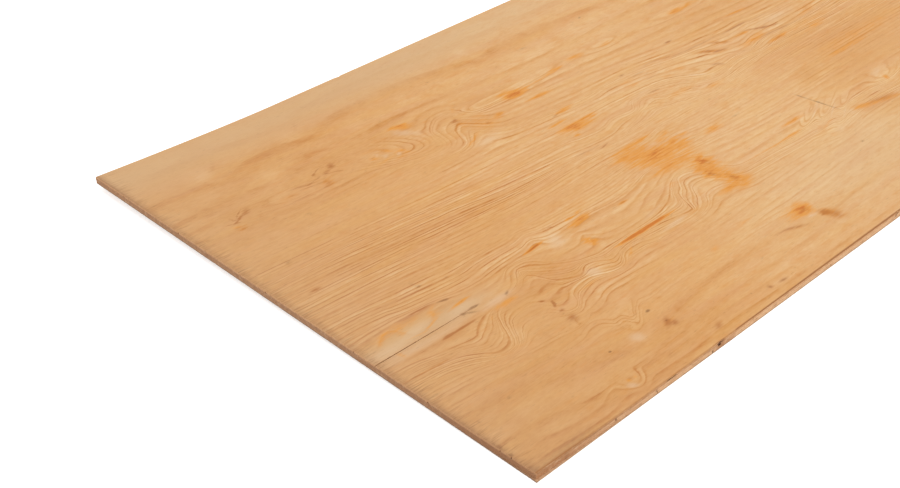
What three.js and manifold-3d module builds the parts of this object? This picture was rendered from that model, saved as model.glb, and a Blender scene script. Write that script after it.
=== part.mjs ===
// A construction plywood sheet, 4 ft by 8 ft and 5/8 in thick. All sizes are in millimetres.
//
// Four rotary-cut softwood veneers lie on each other. The face and back veneers run along the
// sheet and are whole. The two core veneers run across it, and each is laid up from strips that
// almost meet, so a narrow gap shows between them along the sawn edges. Dark glue fills the thin
// line between one veneer and the next.
//
// X runs along the sheet, Y across it and Z up. The origin is on the floor under its middle.
// The near end is at -X and the front edge at -Y. The back corner of the near end has warped
// up off the floor, and the whole stack bends with it.

import * as THREE from "three";
import { mergeVertices } from "three/addons/utils/BufferGeometryUtils.js";
import Module from "manifold-3d";

const wasm = await Module();
wasm.setup();

// The sheet and its veneers.
const sheetLength = 2438.4;
const sheetWidth = 1219.2;
const faceThickness = 3.0;
const upperCoreThickness = 4.5;
const lowerCoreThickness = 4.5;
const backThickness = 3.0;
const glueLine = 0.3;

// The warp: how high the back corner of the near end stands, and how far the bend reaches.
const cornerLift = 15.3;
const bendLength = 450;
const bendPower = 1.5;

// How finely the bent part of a veneer is divided.
const bendStep = 25;
const bendRows = 8;

// The strips of the core veneers, in order from the near end. A strip is followed by a joint,
// which leans along the sheet on its way from the front edge to the back one, and whose gap is
// as wide as given at each of the two edges. The order starts again on a longer sheet.
const upperStrips = [
  { width: 195, frontGap: 3.2, backGap: 1.4, lean: 9 },
  { width: 106, frontGap: 2.0, backGap: 3.0, lean: -4 },
  { width: 176, frontGap: 8.0, backGap: 2.2, lean: 6 },
  { width: 584, frontGap: 3.0, backGap: 1.6, lean: -8 },
  { width: 462, frontGap: 1.6, backGap: 4.2, lean: 12 },
  { width: 437, frontGap: 2.4, backGap: 1.8, lean: -5 },
  { width: 478, frontGap: 1.8, backGap: 2.6, lean: 7 },
];
const lowerStrips = [
  { width: 303, frontGap: 2.6, backGap: 1.5, lean: -7 },
  { width: 155, frontGap: 3.4, backGap: 2.6, lean: 5 },
  { width: 372, frontGap: 1.8, backGap: 3.6, lean: 8 },
  { width: 440, frontGap: 3.0, backGap: 1.7, lean: -6 },
  { width: 466, frontGap: 2.2, backGap: 2.8, lean: 10 },
  { width: 395, frontGap: 2.8, backGap: 1.5, lean: -3 },
  { width: 307, frontGap: 1.6, backGap: 2.4, lean: 6 },
];

// The split in the face veneer: it opens at the near end and closes along the grain.
const splitFromFront = 375;
const splitLength = 258;
const splitWidth = 1.4;
const splitDrift = 1;

// The worn near corner of the front edge. Above the back veneer the edges are crushed back by
// these amounts at the corner, and run out to the sawn line at these distances from it.
const wornFrontDepth = 4.2;
const wornFrontLength = 280;
const wornEndDepth = 2.6;
const wornEndLength = 145;

// Splinters torn out of the face veneer: the distance along the edge, the width of the mouth
// and the depth into the sheet. The ends are measured from the front edge, and the front and
// back edges from the near end.
const nearEndChips = [
  { at: 57, mouth: 7, depth: 4 },
  { at: 81, mouth: 4, depth: 3 },
  { at: 246, mouth: 5, depth: 1.5 },
  { at: 431, mouth: 3, depth: 2 },
  { at: 672, mouth: 7, depth: 1.5 },
  { at: 938, mouth: 4, depth: 2 },
  { at: 1121, mouth: 6, depth: 1.5 },
];
const farEndChips = [
  { at: 140, mouth: 7, depth: 5 },
  { at: 512, mouth: 5, depth: 8 },
  { at: 905, mouth: 9, depth: 5 },
];
const frontEdgeChips = [
  { at: 478, mouth: 26, depth: 3 },
  { at: 1066, mouth: 14, depth: 2 },
  { at: 1874, mouth: 30, depth: 3 },
];
const backEdgeChips = [
  { at: 655, mouth: 24, depth: 2 },
  { at: 1590, mouth: 34, depth: 3 },
];

// How far a cutter runs past what it cuts.
const overrun = 5;

const nearEnd = -sheetLength / 2;
const farEnd = sheetLength / 2;
const frontEdge = -sheetWidth / 2;
const backEdge = sheetWidth / 2;

const lowerCoreBottom = backThickness + glueLine;
const upperCoreBottom = lowerCoreBottom + lowerCoreThickness + glueLine;
const faceBottom = upperCoreBottom + upperCoreThickness + glueLine;
const sheetTop = faceBottom + faceThickness;

// How far above the floor plane a point of the sheet's underside is lifted by the warp.
function lift(x, y) {
  const along = Math.max(0, 1 - (x - nearEnd) / bendLength);
  const across = (y - frontEdge) / sheetWidth;
  return cornerLift * across * along ** bendPower;
}

// Where a veneer is divided along its length, from 0 at its near end to 1 at its far end: in
// short steps through the bend, and not at all where the sheet is flat.
function divisions(start, end) {
  const bendEnd = Math.min(end, nearEnd + bendLength);
  if (start >= bendEnd) {
    return [0, 1];
  }
  const steps = Math.ceil((bendEnd - start) / bendStep);
  const bentShare = (bendEnd - start) / (end - start);
  const list = [];
  for (let step = 0; step <= steps; step += 1) {
    list.push((bentShare * step) / steps);
  }
  if (bendEnd < end) {
    list.push(1);
  }
  return list;
}

// A veneer between two edges that cross the sheet, each given as its X at the front edge and
// at the back edge. It is a slab, divided and lifted to follow the warp.
function slab(start, end, bottom, thickness) {
  const along = divisions(start.front, end.front);
  const rows = along.length > 2 ? bendRows : 1;
  const geometry = new THREE.BoxGeometry(1, 1, 1, along.length - 1, rows, 1);
  const position = geometry.attributes.position;
  for (let index = 0; index < position.count; index += 1) {
    const share = along[Math.round((position.getX(index) + 0.5) * (along.length - 1))];
    const across = position.getY(index) + 0.5;
    const left = start.front + (start.back - start.front) * across;
    const right = end.front + (end.back - end.front) * across;
    const x = left + (right - left) * share;
    const y = frontEdge + sheetWidth * across;
    const z = bottom + thickness * (position.getZ(index) + 0.5) + lift(x, y);
    position.setXYZ(index, x, y, z);
  }
  return geometry;
}

// A straight edge across the sheet, as slab takes it.
function squareEdge(x) {
  return { front: x, back: x };
}

// The closed solid that a geometry's surface bounds.
function solidOf(geometry) {
  const bare = geometry.clone();
  bare.deleteAttribute("normal");
  bare.deleteAttribute("uv");
  const merged = mergeVertices(bare);
  const mesh = new wasm.Mesh({
    numProp: 3,
    vertProperties: new Float32Array(merged.attributes.position.array),
    triVerts: new Uint32Array(merged.index.array),
  });
  return new wasm.Manifold(mesh);
}

// The geometry of a solid's surface.
function geometryOf(solid) {
  const mesh = solid.getMesh();
  const geometry = new THREE.BufferGeometry();
  geometry.setAttribute("position", new THREE.BufferAttribute(mesh.vertProperties, 3));
  geometry.setIndex(new THREE.BufferAttribute(mesh.triVerts, 1));
  geometry.computeVertexNormals();
  return geometry;
}

// A cutter that goes right down through the stack, with the given outline seen from above.
function cutter(outline) {
  const depth = sheetTop + cornerLift + 2 * overrun;
  const geometry = new THREE.ExtrudeGeometry(outline, { depth, bevelEnabled: false, curveSegments: 10 });
  geometry.translate(0, 0, -overrun);
  return solidOf(geometry);
}

// The split: two shallow curves that start apart at the near end and meet along the grain.
function splitOutline() {
  const y = frontEdge + splitFromFront;
  const tipX = nearEnd + splitLength;
  const tipY = y + splitDrift;
  const bellyX = nearEnd + splitLength / 2;
  const half = splitWidth / 2;
  const outline = new THREE.Shape();
  outline.moveTo(nearEnd - overrun, y - half);
  outline.lineTo(nearEnd, y - half);
  outline.quadraticCurveTo(bellyX, y - half, tipX, tipY);
  outline.quadraticCurveTo(bellyX, y + half, nearEnd, y + half);
  outline.lineTo(nearEnd - overrun, y + half);
  outline.closePath();
  return outline;
}

// The worn corner, bounded by the two lines along which the upper veneers are crushed back.
function wornOutline() {
  const outline = new THREE.Shape();
  outline.moveTo(nearEnd - overrun, frontEdge - overrun);
  outline.lineTo(nearEnd + wornFrontLength, frontEdge - overrun);
  outline.lineTo(nearEnd + wornFrontLength, frontEdge);
  outline.lineTo(nearEnd + wornEndDepth, frontEdge + wornFrontDepth);
  outline.lineTo(nearEnd, frontEdge + wornEndLength);
  outline.lineTo(nearEnd - overrun, frontEdge + wornEndLength);
  outline.closePath();
  return outline;
}

// A torn-out splinter: a mouth on an edge that narrows to a point inside the sheet. The edge
// runs through start, and inward points from it into the sheet.
function chipOutline(start, direction, inward, chip) {
  const corner = (along, depth) => new THREE.Vector2(
    start.x + direction.x * along + inward.x * depth,
    start.y + direction.y * along + inward.y * depth,
  );
  const outline = new THREE.Shape([
    corner(chip.at - chip.mouth / 2, -overrun),
    corner(chip.at - chip.mouth / 2, 0),
    corner(chip.at + chip.mouth / 8, chip.depth),
    corner(chip.at + chip.mouth / 2, 0),
    corner(chip.at + chip.mouth / 2, -overrun),
  ]);
  return outline;
}

// Every splinter torn out of the four edges of the face veneer.
function chipOutlines() {
  const along = new THREE.Vector2(1, 0);
  const across = new THREE.Vector2(0, 1);
  const back = new THREE.Vector2(-1, 0);
  const front = new THREE.Vector2(0, -1);
  const nearFront = new THREE.Vector2(nearEnd, frontEdge);
  const farFront = new THREE.Vector2(farEnd, frontEdge);
  const nearBack = new THREE.Vector2(nearEnd, backEdge);
  return [
    ...nearEndChips.map((chip) => chipOutline(nearFront, across, along, chip)),
    ...farEndChips.map((chip) => chipOutline(farFront, across, back, chip)),
    ...frontEdgeChips.map((chip) => chipOutline(nearFront, along, across, chip)),
    ...backEdgeChips.map((chip) => chipOutline(nearBack, along, front, chip)),
  ];
}

// The joints of one core veneer, as the X where each crosses the front edge. The last strip
// takes what is left once there is no room for a joint and a useful width after it.
function jointsOf(strips) {
  const joints = [];
  let along = strips[0].width;
  let next = strips[1];
  while (along + next.width / 2 < sheetLength) {
    joints.push({ x: nearEnd + along, strip: strips[joints.length % strips.length] });
    along += next.width;
    next = strips[(joints.length + 1) % strips.length];
  }
  return joints;
}

// The strips of one core veneer, as slabs between the joints.
function coreStrips(strips, bottom, thickness) {
  const slabs = [];
  let start = squareEdge(nearEnd);
  for (const { x, strip } of jointsOf(strips)) {
    const end = { front: x - strip.frontGap / 2, back: x + strip.lean - strip.backGap / 2 };
    slabs.push(slab(start, end, bottom, thickness));
    start = { front: x + strip.frontGap / 2, back: x + strip.lean + strip.backGap / 2 };
  }
  slabs.push(slab(start, squareEdge(farEnd), bottom, thickness));
  return slabs;
}

function named(name, geometry, material) {
  const mesh = new THREE.Mesh(geometry, material);
  mesh.name = name;
  return mesh;
}

const faceWood = new THREE.MeshStandardMaterial({ color: 0xd9a066, roughness: 0.62, metalness: 0 });
const coreWood = new THREE.MeshStandardMaterial({ color: 0xc79257, roughness: 0.85, metalness: 0 });
const backWood = new THREE.MeshStandardMaterial({ color: 0xcf9c66, roughness: 0.75, metalness: 0 });

const worn = cutter(wornOutline());

function faceVeneer() {
  let solid = solidOf(slab(squareEdge(nearEnd), squareEdge(farEnd), faceBottom, faceThickness));
  for (const outline of [splitOutline(), ...chipOutlines()]) {
    solid = solid.subtract(cutter(outline));
  }
  return geometryOf(solid.subtract(worn));
}

function backVeneer() {
  return slab(squareEdge(nearEnd), squareEdge(farEnd), 0, backThickness);
}

// One core veneer: its strips, with the worn corner cut from those that reach it.
function coreVeneer(name, strips, bottom, thickness) {
  return coreStrips(strips, bottom, thickness).map((strip, index) => {
    strip.computeBoundingBox();
    const isWorn = strip.boundingBox.min.x < nearEnd + Math.max(wornFrontLength, wornEndDepth);
    const geometry = isWorn ? geometryOf(solidOf(strip).subtract(worn)) : strip;
    return named(`${name}_${index + 1}`, geometry, coreWood);
  });
}

const sheet = new THREE.Group();
sheet.add(named("back_veneer", backVeneer(), backWood));
sheet.add(...coreVeneer("lower_core_strip", lowerStrips, lowerCoreBottom, lowerCoreThickness));
sheet.add(...coreVeneer("upper_core_strip", upperStrips, upperCoreBottom, upperCoreThickness));
sheet.add(named("face_veneer", faceVeneer(), faceWood));

export default sheet;
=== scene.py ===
"""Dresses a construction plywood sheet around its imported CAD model.

Places on the sheet are given in millimetres as (along, across): along the sheet from its near
end, and across it from its front edge. Blender's own frame is in metres, with +X along the
sheet, +Y across it and +Z up.
"""
from math import ceil, pi, radians

import bmesh
import bpy
from bpy.props import FloatProperty, FloatVectorProperty, IntProperty, PointerProperty
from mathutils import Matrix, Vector, noise
from mathutils.geometry import convex_hull_2d, delaunay_2d_cdt
from mathutils.kdtree import KDTree


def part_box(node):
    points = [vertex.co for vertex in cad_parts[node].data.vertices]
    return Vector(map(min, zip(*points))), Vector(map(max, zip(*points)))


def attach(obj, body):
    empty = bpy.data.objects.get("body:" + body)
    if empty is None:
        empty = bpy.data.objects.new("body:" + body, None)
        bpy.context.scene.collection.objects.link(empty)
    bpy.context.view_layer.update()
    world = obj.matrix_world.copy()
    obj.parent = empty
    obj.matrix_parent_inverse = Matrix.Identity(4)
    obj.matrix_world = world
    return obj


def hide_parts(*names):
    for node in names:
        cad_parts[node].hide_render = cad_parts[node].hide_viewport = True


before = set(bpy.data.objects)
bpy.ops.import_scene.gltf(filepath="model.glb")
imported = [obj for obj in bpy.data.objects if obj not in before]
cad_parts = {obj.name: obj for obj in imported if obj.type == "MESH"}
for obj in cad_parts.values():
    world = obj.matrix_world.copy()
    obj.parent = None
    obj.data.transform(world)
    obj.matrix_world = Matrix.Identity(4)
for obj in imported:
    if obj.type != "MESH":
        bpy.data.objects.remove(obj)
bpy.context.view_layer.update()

bl_info = {
    "name": "Plywood Sheet",
    "version": (1, 0, 0),
    "blender": (4, 5, 0),
    "location": "View3D > Sidebar > Plywood",
    "description": "Builds the veneers, glue and torn fibres of a plywood sheet on its CAD model",
    "category": "Add Mesh",
}

MM = 0.001


# ---------------------------------------------------------------- sizes, from the CAD model

def node_box(name):
    """A CAD node's lowest and highest corners, in millimetres."""
    low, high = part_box(name)
    return low / MM, high / MM


FACE_THICKNESS = 3.0
CORE_THICKNESS = 4.5
GLUE_THICKNESS = 0.3
BACK_LOW, BACK_HIGH = node_box("back_veneer")
NEAR_END, FAR_END = BACK_LOW.x, BACK_HIGH.x
FRONT_EDGE, BACK_EDGE = BACK_LOW.y, BACK_HIGH.y
SHEET_LENGTH = FAR_END - NEAR_END
SHEET_WIDTH = BACK_EDGE - FRONT_EDGE
# the last strip lies beyond the warp, so its top is the top of the flat core
SHEET_TOP = node_box("upper_core_strip_7")[1].z + (FACE_THICKNESS + GLUE_THICKNESS)
CORNER_LIFT = node_box("face_veneer")[1].z - SHEET_TOP
UPPER_STRIPS = sorted(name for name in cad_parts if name.startswith("upper_core_strip"))
LOWER_STRIPS = sorted(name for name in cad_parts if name.startswith("lower_core_strip"))


def layer_of(name, thickness):
    """The bottom and top of a veneer where the sheet lies flat."""
    bottom = node_box(name)[0].z
    return bottom, bottom + thickness


# ---------------------------------------------------------------- what a user may change

def linear(code):
    """A linear colour with alpha, from sRGB hex such as "#d9a066"."""
    channels = [int(code[place:place + 2], 16) / 255 for place in (1, 3, 5)]
    return (*[c / 12.92 if c <= 0.04045 else ((c + 0.055) / 1.055) ** 2.4 for c in channels], 1.0)


class SheetSizes(bpy.types.PropertyGroup):
    """Sizes of the veneers, of the warp and of what the saw and handling did."""
    face_thickness: FloatProperty(
        name="Face veneer", description="Thickness of the face and back veneers",
        default=FACE_THICKNESS * MM, min=0.5 * MM, precision=4, subtype="DISTANCE")
    core_thickness: FloatProperty(
        name="Core veneer", description="Thickness of each core veneer",
        default=CORE_THICKNESS * MM, min=0.5 * MM, precision=4, subtype="DISTANCE")
    bend_length: FloatProperty(
        name="Bend length", description="How far the warp reaches from the near end",
        default=450.0 * MM, min=1.0 * MM, subtype="DISTANCE")
    bend_power: FloatProperty(
        name="Bend power", description="How quickly the warp dies away along the sheet",
        default=1.5, min=1.0)
    end_step: FloatProperty(
        name="Edge step", description="Distance between points on the sawn edges",
        default=3.5 * MM, min=1.0 * MM, precision=4, subtype="DISTANCE")
    end_roughness: FloatProperty(
        name="End roughness", description="How deep the saw tore fibres that it cut across",
        default=0.9 * MM, min=0.0, precision=5, subtype="DISTANCE")
    side_roughness: FloatProperty(
        name="Side roughness", description="How deep the saw tore fibres that it ran along",
        default=0.3 * MM, min=0.0, precision=5, subtype="DISTANCE")
    arris: FloatProperty(
        name="Arris", description="How far the handled corners of the sheet are rubbed off",
        default=0.35 * MM, min=0.0, precision=5, subtype="DISTANCE")
    seed: IntProperty(name="Seed", description="Chooses the torn fibres", default=7, min=0)


class WoodColours(bpy.types.PropertyGroup):
    """Colours of the face veneer's marks."""
    pitch: FloatVectorProperty(
        name="Pitch", description="Wood that resin has soaked thinly",
        subtype="COLOR", size=4, default=linear("#e69a40"), min=0.0, max=1.0)
    pitch_core: FloatVectorProperty(
        name="Pitch core", description="Wood that resin has soaked through",
        subtype="COLOR", size=4, default=linear("#cf752c"), min=0.0, max=1.0)
    stain: FloatVectorProperty(
        name="Stain", description="Dense latewood, knot traces and stains",
        subtype="COLOR", size=4, default=linear("#a95f27"), min=0.0, max=1.0)
    dirt: FloatVectorProperty(
        name="Dirt", description="Pencil, dirt and bruises",
        subtype="COLOR", size=4, default=linear("#744a28"), min=0.0, max=1.0)


class StageSettings(bpy.types.PropertyGroup):
    """The lens and the light."""
    lens: FloatProperty(
        name="Lens", description="Focal length of the camera on a 36 mm sensor",
        default=58.74, min=10.0, unit="CAMERA")
    sky: FloatProperty(
        name="Sky", description="Strength of the even light from all around",
        default=0.72, min=0.0)
    key: FloatProperty(
        name="Key lamp", description="Strength of the soft sun, in watts a square metre",
        default=0.95, min=0.0)


def size(name):
    """A length of the sheet that a user may change, in millimetres."""
    return round(getattr(bpy.context.scene.plywood_sizes, name) / MM, 3)


# ---------------------------------------------------------------- building materials

# A mark is so tall that it takes in every height on the sheet.
FLATTENED = 1e6


def add(tree, kind, inputs=None, **settings):
    """Adds a node. Its inputs are given by name or number: a node stands for its first output."""
    node = tree.nodes.new(kind)
    for name, value in settings.items():
        setattr(node, name, value)
    for key, value in (inputs or {}).items():
        if isinstance(value, bpy.types.Node):
            value = value.outputs[0]
        if isinstance(value, bpy.types.NodeSocket):
            tree.links.new(value, node.inputs[key])
        else:
            node.inputs[key].default_value = value
    return node


def maths(tree, operation, *values):
    """Adds a math node that works on one, two or three values."""
    return add(tree, "ShaderNodeMath", dict(enumerate(values)), operation=operation)


def ranged(tree, value, low, high, to_low=0.0, to_high=1.0, shape="LINEAR"):
    """Maps the range from low to high onto another one, and holds the result inside it."""
    return add(tree, "ShaderNodeMapRange", {
        "Value": value, "From Min": low, "From Max": high, "To Min": to_low, "To Max": to_high},
        interpolation_type=shape)


def new_material(name, roughness, specular):
    """A material with an empty principled surface. Returns it, its tree and the shader node."""
    material = bpy.data.materials.new(name)
    material.use_nodes = True
    tree = material.node_tree
    tree.nodes.clear()
    shader = add(tree, "ShaderNodeBsdfPrincipled", {
        "Roughness": roughness, "Specular IOR Level": specular, "IOR": 1.53})
    add(tree, "ShaderNodeOutputMaterial", {"Surface": shader})
    return material, tree, shader


def surfaced(tree, shader, colour, relief=None, strength=0.5, depth=0.2):
    """Gives a surface its colour and, from a height, a relief that many millimetres deep."""
    tree.links.new(colour, shader.inputs["Base Color"])
    if relief:
        bump = add(tree, "ShaderNodeBump", {
            "Height": relief, "Strength": strength, "Distance": depth * MM})
        tree.links.new(bump.outputs[0], shader.inputs["Normal"])


def place_on(tree, with_height=True):
    """The place on the sheet in millimetres, (along, across, height or 0)."""
    raw = add(tree, "ShaderNodeTexCoord").outputs["Object"]
    return add(tree, "ShaderNodeMapping", {
        "Vector": raw, "Location": (-NEAR_END, -FRONT_EDGE, 0),
        "Scale": (1 / MM, 1 / MM, 1 / MM if with_height else 0)})


def curve_of(tree, value, points, smooth="AUTO_CLAMPED"):
    """A curve from 0 to 1 through the given points. A sharp point has a third entry, True."""
    node = add(tree, "ShaderNodeFloatCurve", {"Value": value})
    curve = node.mapping.curves[0]
    node.mapping.use_clip = False
    node.mapping.extend = "HORIZONTAL"
    for count, point in enumerate(points):
        if count < 2:
            curve.points[count].location = point[:2]
        else:
            curve.points.new(*point[:2])
    for handle, point in zip(curve.points, sorted(points)):
        handle.handle_type = "VECTOR" if len(point) > 2 else smooth
    node.mapping.update()
    return node


def curve_along(tree, along, points):
    """A curve along the sheet. A point is (millimetres from the near end, value)."""
    return curve_of(tree, along, [(distance / SHEET_LENGTH, value) for distance, value in points])


def ramp_of(tree, value, stops):
    """The colour that a ramp with the given (position, sRGB hex) stops gives to a value."""
    node = add(tree, "ShaderNodeValToRGB", {"Fac": value})
    ramp = node.color_ramp
    while len(ramp.elements) < len(stops):
        ramp.elements.new(1.0)
    for element, (position, code) in zip(ramp.elements, stops):
        element.position = position
        element.color = linear(code)
    return node.outputs[0]


def stretched_noise(tree, place, along, across, detail=2.0, offset=0.0, roughness=0.5):
    """Noise from 0 to 1 whose lumps are that many millimetres long and wide."""
    scaled = add(tree, "ShaderNodeMapping", {
        "Vector": place, "Location": (offset, offset * 0.7, offset * 0.3),
        "Scale": (1 / along, 1 / across, 1 / across)})
    return add(tree, "ShaderNodeTexNoise", {
        "Vector": scaled, "Scale": 1.0, "Detail": detail, "Roughness": roughness})


def marks(tree, place, spots, total=0.0, smooth=True):
    """Sums soft oval marks on the sheet, and adds them to total.

    A mark is (along, across, half length, half width, turn, strength). It has half its strength
    at that half length and width, and the turn is in degrees from the length of the sheet.
    """
    for along, across, half_length, half_width, turn, strength in spots:
        mark = add(tree, "ShaderNodeTexGradient", {"Vector": place}, gradient_type="SPHERICAL")
        mark.texture_mapping.vector_type = "TEXTURE"
        mark.texture_mapping.translation = (along, across, 0)
        mark.texture_mapping.rotation = (0, 0, radians(turn))
        mark.texture_mapping.scale = (2 * half_length, 2 * half_width, FLATTENED)
        level = mark.outputs["Fac"]
        if smooth:
            level = ranged(tree, level, 0, 1, 0, strength, "SMOOTHSTEP")
            total = maths(tree, "ADD", level, total)
        else:
            total = maths(tree, "MULTIPLY_ADD", level, strength, total)
    return total


def ragged(tree, place, reach):
    """The place, shaken along the grain by about reach from one bundle of fibres to the next, so
    that what is drawn there ends in fine points. It is shaken less near the front edge."""
    fibres = stretched_noise(tree, place, 60, 7, detail=3.0, offset=88)
    shift = maths(tree, "SUBTRACT", fibres, 0.5)
    across = add(tree, "ShaderNodeSeparateXYZ", {"Vector": place}).outputs[1]
    pull = ranged(tree, across, 300, 460, 1.2 * reach, 4 * reach)
    shift = maths(tree, "MULTIPLY", shift, pull)
    return add(tree, "ShaderNodeVectorMath", {
        0: place, 1: add(tree, "ShaderNodeCombineXYZ", {0: shift})}, operation="ADD")


def after(tree, place, result):
    """The same place for marks(), but one that can't be worked out before result is, because the
    result rides in its height, which marks don't see. Cycles keeps only a few hundred numbers at
    a time, and this makes it sum the marks in groups."""
    axes = add(tree, "ShaderNodeSeparateXYZ", {"Vector": place})
    return add(tree, "ShaderNodeCombineXYZ", {0: axes.outputs[0], 1: axes.outputs[1], 2: result})


def feathered(tree, mask, grain, low, high, depth):
    """A mask whose soft border is broken up by noise, from 0 below low to 1 above high."""
    broken = maths(tree, "MULTIPLY_ADD", grain, depth, mask)
    return ranged(tree, broken, low + depth / 2, high + depth / 2, shape="SMOOTHSTEP")


def tinted(tree, colour, mask, tint):
    """A colour mixed towards a tint, sRGB hex or one of WoodColours, where the mask is 1."""
    mix = add(tree, "ShaderNodeMix", data_type="RGBA")
    tree.links.new(mask.outputs[0], mix.inputs[0])
    tree.links.new(colour, mix.inputs[6])
    mix.inputs[7].default_value = linear(tint) if isinstance(tint, str) else tint
    return mix.outputs[2]


# ---------------------------------------------------------------- the face veneer's figure

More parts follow.
